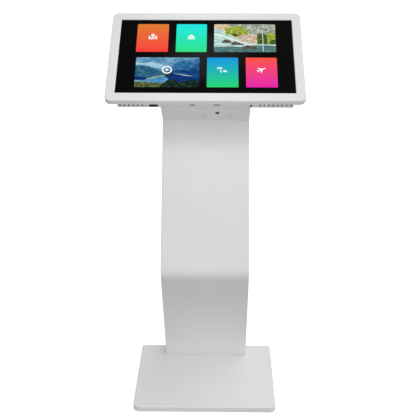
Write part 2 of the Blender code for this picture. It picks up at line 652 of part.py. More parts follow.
# ---------------------------------------------------------------- power inlet and switch
def build_power():
    """The mains inlet and the rocker switch in the lower rear cover."""
    outside = COVER_SKIN[0] - GAP
    inlet = extruded("power_inlet", [rectangle(0.034, 0.0265, (INLET_X, INLET_HEIGHT), 0.002, 3)],
                     outside - 0.0025, outside, LOWER_REAR, BLACK_PLASTIC)
    body = block("inlet_body", (INLET_X - 0.0137, INLET_HEIGHT - 0.0100, outside - 0.001),
                 (INLET_X + 0.0137, INLET_HEIGHT + 0.0100, 0.020), LOWER_REAR, None)
    mouth = ((-0.0120, -0.0080), (0.0120, -0.0080), (0.0120, 0.0080), (-0.0120, 0.0080))
    mouth_corners = [Vector((INLET_X + dx, INLET_HEIGHT + dy)) for dx, dy in mouth]
    mouth = extruded("inlet_mouth", [rounded(mouth_corners, [0.001, 0.001, 0.005, 0.005], True, 1)],
                     outside - 0.01, 0.014, LOWER_REAR, None)
    join(inlet, body)
    cut(inlet, mouth)
    for index, (x, y) in enumerate(((-0.007, -0.002), (0.0, 0.002), (0.007, -0.002)), start=1):
        join(inlet, block(f"inlet_pin_{index}", (INLET_X + x - 0.0010, INLET_HEIGHT + y - 0.0020, 0.0046),
                          (INLET_X + x + 0.0010, INLET_HEIGHT + y + 0.0020, 0.016), LOWER_REAR, None))

    bezel = extruded("switch_bezel", [rectangle(0.0170, 0.0240, (ROCKER_X, INLET_HEIGHT), 0.0015, 3)],
                     outside - 0.0018, outside, LOWER_REAR, BLACK_PLASTIC)
    box = block("switch_body", (ROCKER_X - 0.0067, INLET_HEIGHT - 0.0095, outside - 0.001),
                (ROCKER_X + 0.0067, INLET_HEIGHT + 0.0095, 0.014), LOWER_REAR, None)
    well = block("switch_well", (ROCKER_X - 0.0057, INLET_HEIGHT - 0.0088, outside - 0.01),
                 (ROCKER_X + 0.0057, INLET_HEIGHT + 0.0088, 0.0062), LOWER_REAR, None)
    join(bezel, box)
    cut(bezel, well)

    pivot = add_frame("rocker_pivot", Matrix.Identity(4))
    pivot.parent = LOWER_REAR
    pivot.location = (ROCKER_X, INLET_HEIGHT, 0.0012)
    pivot.rotation_euler = (ROCKER_TILT, 0.0, 0.0)
    side = Matrix(((0, 0, 1, 0), (1, 0, 0, 0), (0, 1, 0, 0), (0, 0, 0, 1)))
    points = ((-0.0080, -0.0062), (0.0, -0.0044), (0.0080, -0.0062), (0.0080, 0.0), (0.0025, 0.0032),
              (-0.0025, 0.0032), (-0.0080, 0.0))
    profile = [Vector(point) for point in points]
    rocker = extruded("switch_rocker", [profile], -0.0053, 0.0053, pivot, BLACK_PLASTIC)
    rocker.matrix_local = side


# ---------------------------------------------------------------- equipment in the column
def build_bay():
    """What stands behind the door and what runs up inside the column."""
    strip = block("power_strip", (-0.080, 0.088, 0.014), (0.080, 0.124, 0.044), LOWER_REAR, BLACK_PLASTIC)
    soften(strip, 0.003)
    player = block("media_player", (-0.060, 0.216, 0.016), (0.060, 0.312, 0.0452), LOWER_REAR, ALUMINIUM)
    soften(player, 0.004)
    cable("mains_lead", ((INLET_X, INLET_HEIGHT, 0.0205), (INLET_X, INLET_HEIGHT, 0.0265),
                         (INLET_X - 0.008, INLET_HEIGHT + 0.003, 0.0345), (-0.070, 0.057, 0.0375),
                         (-0.092, 0.076, 0.036), (-0.1045, 0.094, 0.032), (-0.100, 0.108, 0.029),
                         (-0.088, 0.110, 0.029), (-0.0805, 0.110, 0.029)), 0.007, LOWER_REAR)
    middle = offset_path([FOOT, KNEE, CREASE], [0.0] * 3, COLUMN_DEPTH / 2)[0]
    player_top = REAR_FOOT + LOWER_WAY * 0.3125 - right_of(LOWER_WAY) * 0.030
    up = UPPER_WAY
    seat = head_side(VESA_CENTRE, -HEAD_DEPTH)
    side_points = [player_top, player_top + LOWER_WAY * 0.020, middle[1] + up * 0.010 + right_of(up) * -0.004,
                   middle[1] + up * 0.080, middle[1] + up * 0.170, middle[1] + up * 0.260,
                   middle[1] + up * 0.350, middle[2] + up * 0.020,
                   head_side(VESA_CENTRE + 0.006, -HEAD_DEPTH - 0.055), seat - FACING * 0.018,
                   seat + FACING * 0.004]
    route = [(0.0, point.x, point.y) for point in side_points]
    for x, out in ((0.012, 0.017), (0.040, 0.0225), (0.0745, 0.0225)):
        point = head_side(VESA_CENTRE, -HEAD_DEPTH + out)
        route.append((x, point.x, point.y))
    cable("column_cable", route, 0.008, WORLD)


# ---------------------------------------------------------------- service plate in the neck
def build_service_plate():
    """The small plate with a sensor window in the column's neck, its two screws and the module behind it."""
    low, high = -0.0017, -0.0002
    plate = extruded("service_plate", [rectangle(*SERVICE_SIZE, (SERVICE_X, SERVICE_HEIGHT), 0.001, 2)],
                     low, high, NECK, WHITE_STEEL)
    cut(plate, block("window_opening",
                     (SERVICE_X - WINDOW_SIZE[0] / 2, WINDOW_HEIGHT - WINDOW_SIZE[1] / 2, -0.006),
                     (SERVICE_X + WINDOW_SIZE[0] / 2, WINDOW_HEIGHT + WINDOW_SIZE[1] / 2, 0.006), NECK, None))
    block("sensor_window",
          (SERVICE_X - WINDOW_SIZE[0] / 2 + GAP, WINDOW_HEIGHT - WINDOW_SIZE[1] / 2 + GAP, low),
          (SERVICE_X + WINDOW_SIZE[0] / 2 - GAP, WINDOW_HEIGHT + WINDOW_SIZE[1] / 2 - GAP, high - 0.0003),
          NECK, BLACK_GLOSS)
    back = -COLUMN_SHEET - GAP
    module = block("sensor_module", (SERVICE_X - 0.0475, SERVICE_HEIGHT - 0.0290, back - 0.0015),
                   (SERVICE_X + 0.0475, SERVICE_HEIGHT + 0.0290, back), NECK, BLACK_PLASTIC)
    join(module, block("sensor_box", (SERVICE_X - 0.022, SERVICE_HEIGHT - 0.016, back - 0.0125),
                       (SERVICE_X + 0.022, SERVICE_HEIGHT + 0.024, back - 0.0005), NECK, None))
    for side, x in (("left", SERVICE_X - SERVICE_SCREW_REACH), ("right", SERVICE_X + SERVICE_SCREW_REACH)):
        hole = rod(f"service_hole_{side}", 0.0015, (x, SERVICE_HEIGHT, -0.02), (x, SERVICE_HEIGHT, 0.01),
                   NECK, None, 12)
        cut(plate, hole)
        cut(module, hole)
        screw(f"service_screw_{side}", 0.0024, 0.0010, 0.0012, 0.008, (x, SERVICE_HEIGHT, high + GAP),
              (0, 0, 1), NECK)


# ---------------------------------------------------------------- head
HEAD_WIDTH = SCREEN_WIDTH + 2 * SIDE_BEZEL
HEAD_HEIGHT = SCREEN_HEIGHT + TOP_BEZEL + BOTTOM_BEZEL
HEAD_CENTRE = (0.0, HEAD_HEIGHT / 2 - BOTTOM_BEZEL)
SCREEN_CENTRE = (0.0, SCREEN_HEIGHT / 2)
HOUSING_WIDTH = HEAD_WIDTH - 2 * HOUSING_INSET
HOUSING_HEIGHT = HEAD_HEIGHT - 2 * HOUSING_INSET
HOUSING_FOOT = HOUSING_INSET - BOTTOM_BEZEL         # the housing's lower wall, up the screen
HOUSING_TOP = HOUSING_FOOT + HOUSING_HEIGHT
LEFT_SLOT_XS = [-0.1700 - WALL_SLOT_PITCH * index for index in range(6)]
RIGHT_SLOT_XS = [0.1465 + WALL_SLOT_PITCH * index for index in range(8)]
PORTS = {"io": (-0.140, 0.0235, -0.0365, -0.0565), "usb": (-0.034, 0.0140, -0.0455, -0.0515),
         "hdmi": (0.0315, 0.0175, -0.0460, -0.0510)}


def build_front_frame():
    """The white frame round the screen: a face with a chamfered opening and a wall running back."""
    frame = extruded("front_frame", [rectangle(HEAD_WIDTH, HEAD_HEIGHT, HEAD_CENTRE, HEAD_CORNER_RADIUS, 8)],
                     -FRAME_DEPTH, 0.0, HEAD, WHITE_STEEL)
    round_edges(frame, HEAD_EDGE_RADIUS, 3, lambda a, b: min(a.z, b.z) > -1e-5)
    opening = extruded("screen_opening", [rectangle(SCREEN_WIDTH, SCREEN_HEIGHT, SCREEN_CENTRE)],
                       -0.02, 0.01, HEAD, None)
    cavity = extruded("frame_cavity",
                      [rectangle(HEAD_WIDTH - 2 * FRAME_WALL, HEAD_HEIGHT - 2 * FRAME_WALL, HEAD_CENTRE,
                                 HEAD_CORNER_RADIUS - FRAME_WALL, 8)], -0.03, -FRAME_FACE, HEAD, None)
    bm = bmesh.new()
    bmesh.ops.create_cube(bm, size=1.0)
    for corner in bm.verts:
        spread = SCREEN_CHAMFER if corner.co.z > 0 else -SCREEN_CHAMFER
        corner.co.x = math.copysign(SCREEN_WIDTH / 2 + SCREEN_CHAMFER + spread, corner.co.x)
        half_height = SCREEN_HEIGHT / 2 + SCREEN_CHAMFER + spread
        corner.co.y = math.copysign(half_height, corner.co.y) + SCREEN_CENTRE[1]
        corner.co.z = math.copysign(SCREEN_CHAMFER, corner.co.z)
    chamfer = object_from(bm, "opening_chamfer", HEAD, None)
    cut(frame, opening, cavity, chamfer)


def build_display():
    """Touch glass, display panel and the bracket that clamps the panel."""
    front = -FRAME_FACE - GAP
    extruded("touch_glass", [rectangle(0.500, 0.292, SCREEN_CENTRE, 0.003, 3)],
             front - GLASS_THICKNESS, front, HEAD, DARK_GLASS)
    panel_front = front - GLASS_THICKNESS - GAP
    panel_back = panel_front - PANEL_THICKNESS
    extruded("display_panel", [rectangle(0.495, 0.288, SCREEN_CENTRE, 0.002, 2)],
             panel_back, panel_front, HEAD, PANEL_GREY)
    bracket_front = panel_back - GAP
    outline = rectangle(0.440, 0.240, SCREEN_CENTRE, 0.004, 2)
    window = rectangle(0.400, 0.190, SCREEN_CENTRE, 0.004, 2)
    extruded("panel_bracket", [outline, window], bracket_front - 0.0015, bracket_front, HEAD, ZINC)


def slot_cutter(name, x, up_low, up_high, out_low, out_high, width=WALL_SLOT_WIDTH):
    """A cutter for one slot in the housing."""
    return block(name, (x - width / 2, up_low, out_low), (x + width / 2, up_high, out_high), HEAD, None)


def build_housing():
    """The rear housing: a flange behind the frame and a deep box with vents and ports."""
    centre = HEAD_CENTRE
    flange_width = HEAD_WIDTH - 2 * FRAME_WALL - 2 * GAP
    flange_height = HEAD_HEIGHT - 2 * FRAME_WALL - 2 * GAP
    housing = extruded("rear_housing",
                       [rectangle(HOUSING_WIDTH, HOUSING_HEIGHT, centre, HOUSING_CORNER_RADIUS, 6)],
                       -HEAD_DEPTH, -FRAME_DEPTH + 0.001, HEAD, WHITE_STEEL)
    round_edges(housing, HOUSING_EDGE_RADIUS, 3, lambda a, b: max(a.z, b.z) < -HEAD_DEPTH + 1e-5)
    flange = extruded("housing_flange",
                      [rectangle(flange_width, flange_height, centre,
                                 HEAD_CORNER_RADIUS - FRAME_WALL - GAP, 8)],
                      -FRAME_DEPTH, -FRAME_DEPTH + HOUSING_SHEET, HEAD, None)
    inside = rectangle(HOUSING_WIDTH - 2 * HOUSING_SHEET, HOUSING_HEIGHT - 2 * HOUSING_SHEET, centre,
                       HOUSING_CORNER_RADIUS - HOUSING_SHEET, 6)
    hollow = extruded("housing_hollow", [inside], -HEAD_DEPTH + HOUSING_SHEET, 0.01, HEAD, None)
    join(housing, flange)
    cut(housing, hollow)
    slots = []
    for index, x in enumerate(LEFT_SLOT_XS + RIGHT_SLOT_XS, start=1):
        slots.append(slot_cutter(f"lower_slot_{index}", x, HOUSING_FOOT - 0.01, HOUSING_FOOT + 0.01,
                                 -0.0540, -0.0300))
    for index in range(8):
        for side in (-1, 1):
            label = "left" if side < 0 else "right"
            x = side * (0.1465 + WALL_SLOT_PITCH * index)
            slots.append(slot_cutter(f"upper_slot_{label}_{index}", x, HOUSING_TOP - 0.01, HOUSING_TOP + 0.01,
                                     -0.0540, -0.0300))
            slots.append(slot_cutter(f"back_slot_{label}_{index}", x, 0.150, 0.215, -0.07, -0.05))
    for label, (x, width, out_high, out_low) in PORTS.items():
        slots.append(slot_cutter(f"{label}_opening", x, HOUSING_FOOT - 0.01, HOUSING_FOOT + 0.01,
                                 out_low, out_high, width))
    cut(housing, *slots)
    holes = [rod("microphone_hole", 0.0014, (MICROPHONE_X, HOUSING_FOOT - 0.01, BUTTON_DEPTH),
                 (MICROPHONE_X, HOUSING_FOOT + 0.01, BUTTON_DEPTH), HEAD, None, 10),
             rod("button_hole", 0.0034, (BUTTON_X, HOUSING_FOOT - 0.01, BUTTON_DEPTH),
                 (BUTTON_X, HOUSING_FOOT + 0.01, BUTTON_DEPTH), HEAD, None, 16),
             rod("housing_cable_hole", CABLE_HOLE, (0.0, VESA_CENTRE, -0.07), (0.0, VESA_CENTRE, -0.05),
                 HEAD, None, 24)]
    cut(housing, *holes)
    return housing


def build_head_mount(housing):
    """The plate in the column's top that the head is screwed to, on a 100 mm square pattern."""
    high = -HEAD_DEPTH - GAP
    low = high - 0.003
    plate = extruded("head_mount_plate", [rectangle(0.232, 0.164, (0.0, VESA_CENTRE), 0.003, 2)],
                     low, high, HEAD, ZINC)
    cut(plate, rod("plate_cable_hole", CABLE_HOLE, (0.0, VESA_CENTRE, -0.07), (0.0, VESA_CENTRE, -0.05),
                   HEAD, None, 24))
    for index, (sx, sy) in enumerate(((-1, -1), (1, -1), (1, 1), (-1, 1)), start=1):
        x, y = sx * VESA_HALF, VESA_CENTRE + sy * VESA_HALF
        hole = rod(f"mount_hole_{index}", VESA_HOLE, (x, y, -0.07), (x, y, -0.05), HEAD, None, 12)
        cut(plate, hole)
        cut(housing, hole)
        screw(f"mount_screw_{index}", 0.0040, 0.0026, VESA_HOLE - GAP, 0.010, (x, y, low - GAP), (0, 0, -1),
              HEAD)
    ring = 0.0157
    inner = -HEAD_DEPTH + HOUSING_SHEET + GAP
    profile = [(0.0100, inner + 0.0015), (0.0190, inner + 0.0015), (0.0190, inner), (ring, inner),
               (ring, low - 0.0008), (0.0100, low - 0.0008)]
    turned("cable_grommet", profile, (0.0, VESA_CENTRE, 0.0), (0, 0, 1), HEAD, RUBBER, 24, True)


def build_electronics():
    """Boards, speakers and sockets inside the head."""
    floor = -HEAD_DEPTH + HOUSING_SHEET
    board_low = floor + 0.006
    board = block("mainboard", (-0.215, 0.070, board_low), (-0.075, 0.200, board_low + 0.0016), HEAD,
                  BOARD_GREEN)
    posts = ((-0.208, 0.077), (-0.082, 0.077), (-0.208, 0.193), (-0.082, 0.193))
    for index, (x, y) in enumerate(posts, start=1):
        join(board, rod(f"board_post_{index}", 0.003, (x, y, floor + GAP), (x, y, board_low + 0.001),
                        HEAD, None, 10))
    fins = block("heatsink", (-0.175, 0.110, board_low + 0.0019), (-0.115, 0.170, board_low + 0.0045), HEAD,
                 ALUMINIUM)
    for index in range(9):
        x = -0.1735 + 0.0069 * index
        join(fins, block(f"heatsink_fin_{index}", (x, 0.110, board_low + 0.004),
                         (x + 0.0018, 0.170, board_low + 0.018), HEAD, None))
    power = block("power_board", (0.075, 0.070, board_low), (0.205, 0.145, board_low + 0.0016), HEAD,
                  BOARD_GREEN)
    join(power, block("transformer", (0.078, 0.080, board_low + 0.001), (0.118, 0.112, board_low + 0.024),
                      HEAD, None))
    join(power, rod("capacitor", 0.009, (0.150, 0.120, board_low + 0.001), (0.150, 0.120, board_low + 0.026),
                    HEAD, None, 16))
    join(power, rod("power_post", 0.003, (0.195, 0.078, floor + GAP), (0.195, 0.078, board_low + 0.001),
                    HEAD, None, 10))
    for label, x in (("left", -0.195), ("right", 0.190)):
        speaker = soften(block(f"speaker_{label}", (x - 0.030, 0.004, -0.0560), (x + 0.030, 0.038, -0.0260),
                               HEAD, BLACK_PLASTIC), 0.002)
        cut(speaker, rod(f"speaker_cone_{label}", 0.0125, (x, 0.000, -0.041), (x, 0.008, -0.041),
                         HEAD, None, 20))
    inside = HOUSING_FOOT + HOUSING_SHEET + GAP
    for label, (x, width, out_high, out_low) in PORTS.items():
        finish = BLACK_PLASTIC if label == "io" else ZINC
        socket = block(f"{label}_socket", (x - width / 2 - 0.002, inside, out_low - 0.0005),
                       (x + width / 2 + 0.002, inside + 0.016, out_high + 0.002), HEAD, finish)
        cut(socket, block(f"{label}_mouth", (x - width / 2 + 0.001, inside - 0.01, out_low + 0.0010),
                          (x + width / 2 - 0.001, inside + 0.012, out_high - 0.0010), HEAD, None))


def build_button():
    """The power button in the housing's lower wall; it is pressed upwards, into the head."""
    wall_inside = HOUSING_FOOT + HOUSING_SHEET
    turned("power_button", [(0.0, 0.0040), (0.0022, 0.0040), (0.0030, 0.0034), (0.0030, -GAP),
                            (0.0046, -GAP), (0.0046, -0.0014), (0.0, -0.0014)],
           (BUTTON_X, wall_inside, BUTTON_DEPTH), (0, -1, 0), HEAD, BLACK_PLASTIC, 20)
    block("button_switch", (BUTTON_X - 0.004, wall_inside + 0.0032, BUTTON_DEPTH - 0.004),
          (BUTTON_X + 0.004, wall_inside + 0.0090, BUTTON_DEPTH + 0.004), HEAD, BLACK_PLASTIC)


def smooth_round_pieces():
    """Shade every piece smooth, with its real edges kept sharp."""
    for obj in KIOSK.objects:
        if obj.type == "MESH" and obj.data.polygons:
            obj.data.shade_smooth()
            obj.data.set_sharp_from_angle(angle=math.radians(30))


build_base()
cover_holes = build_column()
build_rear_covers(*cover_holes)
build_door()
build_hinges()
build_lock()
build_power()
build_bay()
build_service_plate()
build_front_frame()
build_display()
build_head_mount(build_housing())
build_electronics()
build_button()
smooth_round_pieces()
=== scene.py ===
import math
import random

import bmesh
import bpy
from mathutils import Matrix, Vector


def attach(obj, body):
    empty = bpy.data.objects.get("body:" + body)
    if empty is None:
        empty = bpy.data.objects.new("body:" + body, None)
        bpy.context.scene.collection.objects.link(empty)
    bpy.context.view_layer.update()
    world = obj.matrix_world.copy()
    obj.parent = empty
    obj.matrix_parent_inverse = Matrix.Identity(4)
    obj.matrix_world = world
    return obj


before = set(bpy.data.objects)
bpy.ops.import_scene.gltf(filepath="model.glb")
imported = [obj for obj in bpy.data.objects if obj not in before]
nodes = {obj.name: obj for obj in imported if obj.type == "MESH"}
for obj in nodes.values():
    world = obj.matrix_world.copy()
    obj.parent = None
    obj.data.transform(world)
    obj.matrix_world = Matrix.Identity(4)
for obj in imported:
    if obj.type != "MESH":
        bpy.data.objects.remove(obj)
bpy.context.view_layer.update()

scene = bpy.context.scene

# ---------------------------------------------------------------------------------------------------
# Frames. The head frame lies in the screen plane: X to the right, Y up the screen, Z out of the glass.

HEAD_TILT = math.radians(32.9)
LOWER_LEAN = math.radians(-19.5)


def tilted(angle, origin=(0.0, 0.0, 0.0)):
    """A frame turned about the kiosk's X axis."""
    return Matrix.Translation(Vector(origin)) @ Matrix.Rotation(angle, 4, "X")


def spans(node, turn):
    """Lowest and highest corner of a CAD node in a turned frame that shares the kiosk's origin."""
    back = turn.inverted()
    points = [back @ v.co for v in nodes[node].data.vertices]
    low = Vector([min(p[i] for p in points) for i in range(3)])
    high = Vector([max(p[i] for p in points) for i in range(3)])
    return low, high


head_turn = tilted(HEAD_TILT)
glass_low, glass_high = spans("touch_glass", head_turn)
glass_middle = (glass_low + glass_high) / 2
GLASS = head_turn @ Matrix.Translation((glass_middle.x, glass_middle.y, glass_high.z))

SCREEN_WIDTH = 0.480
SCREEN_HEIGHT = 0.272


# ---------------------------------------------------------------------------------------------------
# Materials

def tone(red, green, blue):
    """A display colour, 0 to 255, as the linear colour that shader sockets take."""
    def linear(value):
        value /= 255.0
        return value / 12.92 if value <= 0.04045 else ((value + 0.055) / 1.055) ** 2.4
    return (linear(red), linear(green), linear(blue), 1.0)


def new_material(name):
    """A material with one Principled shader, and its node tree."""
    mat = bpy.data.materials.new(name)
    mat.use_nodes = True
    tree = mat.node_tree
    tree.nodes.clear()
    output = tree.nodes.new("ShaderNodeOutputMaterial")
    shader = tree.nodes.new("ShaderNodeBsdfPrincipled")
    tree.links.new(shader.outputs[0], output.inputs["Surface"])
    return mat, tree, shader


def texture_place(tree, stretch=(1.0, 1.0, 1.0), turn=(0.0, 0.0, 0.0)):
    """Object coordinates in metres, stretched and turned, for the texture nodes."""
    place = tree.nodes.new("ShaderNodeTexCoord")
    mapping = tree.nodes.new("ShaderNodeMapping")
    mapping.inputs["Scale"].default_value = stretch
    mapping.inputs["Rotation"].default_value = turn
    tree.links.new(place.outputs["Object"], mapping.inputs["Vector"])
    return mapping.outputs["Vector"]


def noise(tree, vector, scale, detail=3.0, rough=0.55):
    """A noise texture's factor."""
    node = tree.nodes.new("ShaderNodeTexNoise")
    node.inputs["Scale"].default_value = scale
    node.inputs["Detail"].default_value = detail
    node.inputs["Roughness"].default_value = rough
    tree.links.new(vector, node.inputs["Vector"])
    return node.outputs["Fac"]


def spread(tree, factor, low, high, start=0.3, end=0.7):
    """The factor mapped onto a range of values."""
    node = tree.nodes.new("ShaderNodeMapRange")
    node.inputs["From Min"].default_value = start
    node.inputs["From Max"].default_value = end
    node.inputs["To Min"].default_value = low
    node.inputs["To Max"].default_value = high
    tree.links.new(factor, node.inputs["Value"])
    return node.outputs["Result"]


def ramp(tree, factor, stops):
    """A colour ramp through (place, colour) stops."""
    node = tree.nodes.new("ShaderNodeValToRGB")
    elements = node.color_ramp.elements
    while len(elements) < len(stops):
        elements.new(0.5)
    for element, (place, colour) in zip(elements, stops):
        element.position = place
        element.color = colour
    tree.links.new(factor, node.inputs["Fac"])
    return node.outputs["Color"]


def mixed(tree, factor, first, second):
    """Two colours blended by a factor; either may be a socket or a plain colour."""
    node = tree.nodes.new("ShaderNodeMix")
    node.data_type = "RGBA"
    for socket, value in zip((node.inputs[0], node.inputs[6], node.inputs[7]), (factor, first, second)):
        if isinstance(value, bpy.types.NodeSocket):
            tree.links.new(value, socket)
        else:
            socket.default_value = value
    return node.outputs[2]


def bump(tree, shader, height, distance, strength=1.0):
    """Relief of the given height in metres."""
    node = tree.nodes.new("ShaderNodeBump")
    node.inputs["Strength"].default_value = strength
    node.inputs["Distance"].default_value = distance
    tree.links.new(height, node.inputs["Height"])
    tree.links.new(node.outputs["Normal"], shader.inputs["Normal"])


def surface(name, dark, light, rough, grain, relief, metallic=0.0, specular=0.5, patch=7.0,
            stretch=(1.0, 1.0, 1.0), detail=3.0):
    """A surface with a broad change of colour and roughness, and a fine grain in relief."""
    mat, tree, shader = new_material(name)
    vector = texture_place(tree)
    grain_vector = texture_place(tree, stretch)
    broad = noise(tree, vector, patch, 4.0)
    fine = noise(tree, grain_vector, grain, detail)
    colours = ramp(tree, broad, [(0.32, (*dark, 1.0)), (0.68, (*light, 1.0))])
    tree.links.new(colours, shader.inputs["Base Color"])
    tree.links.new(spread(tree, fine, rough[0], rough[1]), shader.inputs["Roughness"])
    bump(tree, shader, fine, relief)
    shader.inputs["Metallic"].default_value = metallic
    shader.inputs["Specular IOR Level"].default_value = specular
    return mat


def powder_coat():
    """White textured powder coat: fine orange peel over sheet steel, a little unevenly matt."""
    mat, tree, shader = new_material("powder_coat_white")
    vector = texture_place(tree)
    broad = noise(tree, vector, 5.0, 4.0)
    peel = noise(tree, vector, 620.0, 2.0)
    speckle = noise(tree, vector, 2400.0, 1.0)
    colour = ramp(tree, broad, [(0.30, (0.740, 0.741, 0.740, 1.0)), (0.70, (0.769, 0.769, 0.767, 1.0))])
    colour = mixed(tree, spread(tree, speckle, 0.0, 0.10, 0.62, 0.75), colour, (0.61, 0.61, 0.61, 1.0))
    tree.links.new(colour, shader.inputs["Base Color"])
    tree.links.new(spread(tree, peel, 0.40, 0.52), shader.inputs["Roughness"])
    bump(tree, shader, peel, 0.00004, 0.6)
    shader.inputs["Specular IOR Level"].default_value = 0.45
    return mat


def circuit_board():
    """Green solder mask with copper tracks under it and rows of tinned pads."""
    mat, tree, shader = new_material("board_green")
    vector = texture_place(tree, (1.0, 1.0, 1.0), (HEAD_TILT, 0.0, 0.0))
    tracks = tree.nodes.new("ShaderNodeTexBrick")
    tracks.inputs["Color1"].default_value = (0.015, 0.120, 0.050, 1.0)
    tracks.inputs["Color2"].default_value = (0.020, 0.150, 0.062, 1.0)
    tracks.inputs["Mortar"].default_value = (0.040, 0.230, 0.090, 1.0)
    tracks.inputs["Scale"].default_value = 60.0
    tracks.inputs["Mortar Size"].default_value = 0.03
    tree.links.new(vector, tracks.inputs["Vector"])
    pads = tree.nodes.new("ShaderNodeTexVoronoi")
    pads.inputs["Scale"].default_value = 240.0
    tree.links.new(vector, pads.inputs["Vector"])
    near = spread(tree, pads.outputs["Distance"], 1.0, 0.0, 0.16, 0.22)
    colour = mixed(tree, near, tracks.outputs["Color"], (0.55, 0.52, 0.44, 1.0))
    tree.links.new(colour, shader.inputs["Base Color"])
    tree.links.new(spread(tree, near, 0.42, 0.28, 0.0, 1.0), shader.inputs["Roughness"])
    bump(tree, shader, near, 0.0001)
    return mat


def lit(name, colour_of, glow=1.0):
    """A lit area of the screen, seen under anti-glare glass. colour_of builds the colour in the tree."""
    mat, tree, shader = new_material(name)
    shader.inputs["Base Color"].default_value = (0.0005, 0.0005, 0.0006, 1.0)
    shader.inputs["Roughness"].default_value = 0.12
    shader.inputs["Specular IOR Level"].default_value = 0.02
    shader.inputs["Emission Strength"].default_value = glow
    tree.links.new(colour_of(tree), shader.inputs["Emission Color"])
    return mat


def upwards(tree, low, high):
    """0 to 1 up the screen between two heights in the glass frame."""
    place = tree.nodes.new("ShaderNodeTexCoord")
    parts = tree.nodes.new("ShaderNodeSeparateXYZ")
    tree.links.new(place.outputs["Object"], parts.inputs[0])
    return spread(tree, parts.outputs["Y"], 0.0, 1.0, low, high)


def fade(name, bottom, top, low, high):
    """A lit tile that changes colour from its lower edge to its upper edge."""
    return lit(name, lambda tree: ramp(tree, upwards(tree, low, high), [(0.0, bottom), (1.0, top)]))


FINER = 3.4           # how much finer a picture's second noise is than its first
FINE_SHARE = 0.42     # and how much of it is blended in


def mottled(name, stops, scale, stretch=(1.0, 1.0, 1.0), turn=0.0, detail=6.0):
    """A lit part of a picture: a broad and a fine noise run through several colours, each 0 to 255."""
    def colour_of(tree):
        vector = texture_place(tree, stretch, (0.0, 0.0, turn))
        broad = noise(tree, vector, scale, detail, 0.62)
        fine = noise(tree, vector, scale * FINER, 4.0, 0.70)
        blend = mixed(tree, FINE_SHARE, broad, fine)
        colours = [(place, tone(*colour)) for place, colour in stops]
        return ramp(tree, spread(tree, blend, 0.0, 1.0, 0.25, 0.75), colours)
    return lit(name, colour_of)


WHITE = powder_coat()
GLASS_BLACK = surface("touch_glass_black", (0.004, 0.004, 0.005), (0.008, 0.008, 0.009),
                      (0.05, 0.10), 90.0, 0.000002, specular=0.4, patch=12.0)
PANEL = surface("panel_tray_metal", (0.38, 0.39, 0.40), (0.50, 0.51, 0.52), (0.30, 0.45), 260.0,
                0.00002, metallic=0.9, stretch=(1.0, 12.0, 12.0))
ZINC = surface("zinc_plate", (0.50, 0.51, 0.52), (0.68, 0.69, 0.70), (0.22, 0.40), 700.0, 0.00002,
               metallic=1.0, patch=60.0, stretch=(1.0, 6.0, 6.0))
BALLAST = surface("mill_scale_steel", (0.05, 0.05, 0.055), (0.14, 0.135, 0.13), (0.40, 0.70), 120.0,
                  0.0001, metallic=0.7, patch=18.0, detail=6.0)
ALUMINIUM = surface("brushed_aluminium", (0.55, 0.56, 0.57), (0.70, 0.71, 0.72), (0.25, 0.42), 500.0,
                    0.00002, metallic=1.0, patch=20.0, stretch=(1.0, 30.0, 30.0))
BLACK_PLASTIC = surface("moulded_black_plastic", (0.016, 0.016, 0.018), (0.028, 0.028, 0.030),
                        (0.42, 0.58), 1500.0, 0.00004, patch=40.0)
WINDOW = surface("sensor_window_black", (0.006, 0.005, 0.008), (0.012, 0.010, 0.014), (0.06, 0.10),
                 200.0, 0.000004, specular=0.15, patch=80.0)
RUBBER = surface("black_rubber_sheet", (0.020, 0.020, 0.020), (0.040, 0.040, 0.040), (0.70, 0.90),
                 500.0, 0.0001, specular=0.3, patch=30.0)
SHEATH = surface("black_cable_sheath", (0.014, 0.014, 0.015), (0.026, 0.026, 0.028), (0.40, 0.60),
                 900.0, 0.00006, patch=50.0)
BOARD = circuit_board()

FINISH = {
    "white_powder_coat": WHITE, "screen_glass": GLASS_BLACK, "display": PANEL, "zinc_plated_steel": ZINC,
    "ballast_steel": BALLAST, "aluminium": ALUMINIUM, "black_plastic": BLACK_PLASTIC, "black_window": WINDOW,
    "black_rubber": RUBBER, "cable_sheath": SHEATH, "circuit_board": BOARD,
}

# Every CAD node keeps its shape, takes its slot's finish and is shaded smooth except across real edges.
SHARP_ANGLE = math.radians(32)
WELD_DISTANCE = 0.000001
for node in nodes.values():
    for slot in node.material_slots:
        slot.material = FINISH[slot.material.name.split(".")[0]]
    for polygon in node.data.polygons:
        polygon.use_smooth = True
    weld = node.modifiers.new("weld", "WELD")
    weld.merge_threshold = WELD_DISTANCE
    split = node.modifiers.new("sharp_edges", "EDGE_SPLIT")
    split.split_angle = SHARP_ANGLE
    weighted = node.modifiers.new("even_normals", "WEIGHTED_NORMAL")
    weighted.keep_sharp = True


# ---------------------------------------------------------------------------------------------------
# Flat shapes, cut as thin plates

def prism(bm, outline, low, high, slot=0):
    """A thin plate of any outline between two heights."""
    lower = [bm.verts.new((x, y, low)) for x, y in outline]
    upper = [bm.verts.new((x, y, high)) for x, y in outline]
    count = len(outline)
    faces = [bm.faces.new(upper), bm.faces.new(list(reversed(lower)))]
    for index in range(count):
        after = (index + 1) % count
        faces.append(bm.faces.new((lower[index], lower[after], upper[after], upper[index])))
    for face in faces:
        face.material_index = slot


def annulus(bm, centre, inner, outer, low, high, sides=48):
    """A flat ring."""
    def circle(radius, height):
        return [bm.verts.new((centre[0] + radius * math.cos(2 * math.pi * i / sides),
                              centre[1] + radius * math.sin(2 * math.pi * i / sides), height))
                for i in range(sides)]
    loops = [circle(inner, low), circle(outer, low), circle(outer, high), circle(inner, high)]
    for first, second in zip(loops, loops[1:] + loops[:1]):
        for i in range(sides):
            after = (i + 1) % sides
            bm.faces.new((first[i], first[after], second[after], second[i]))


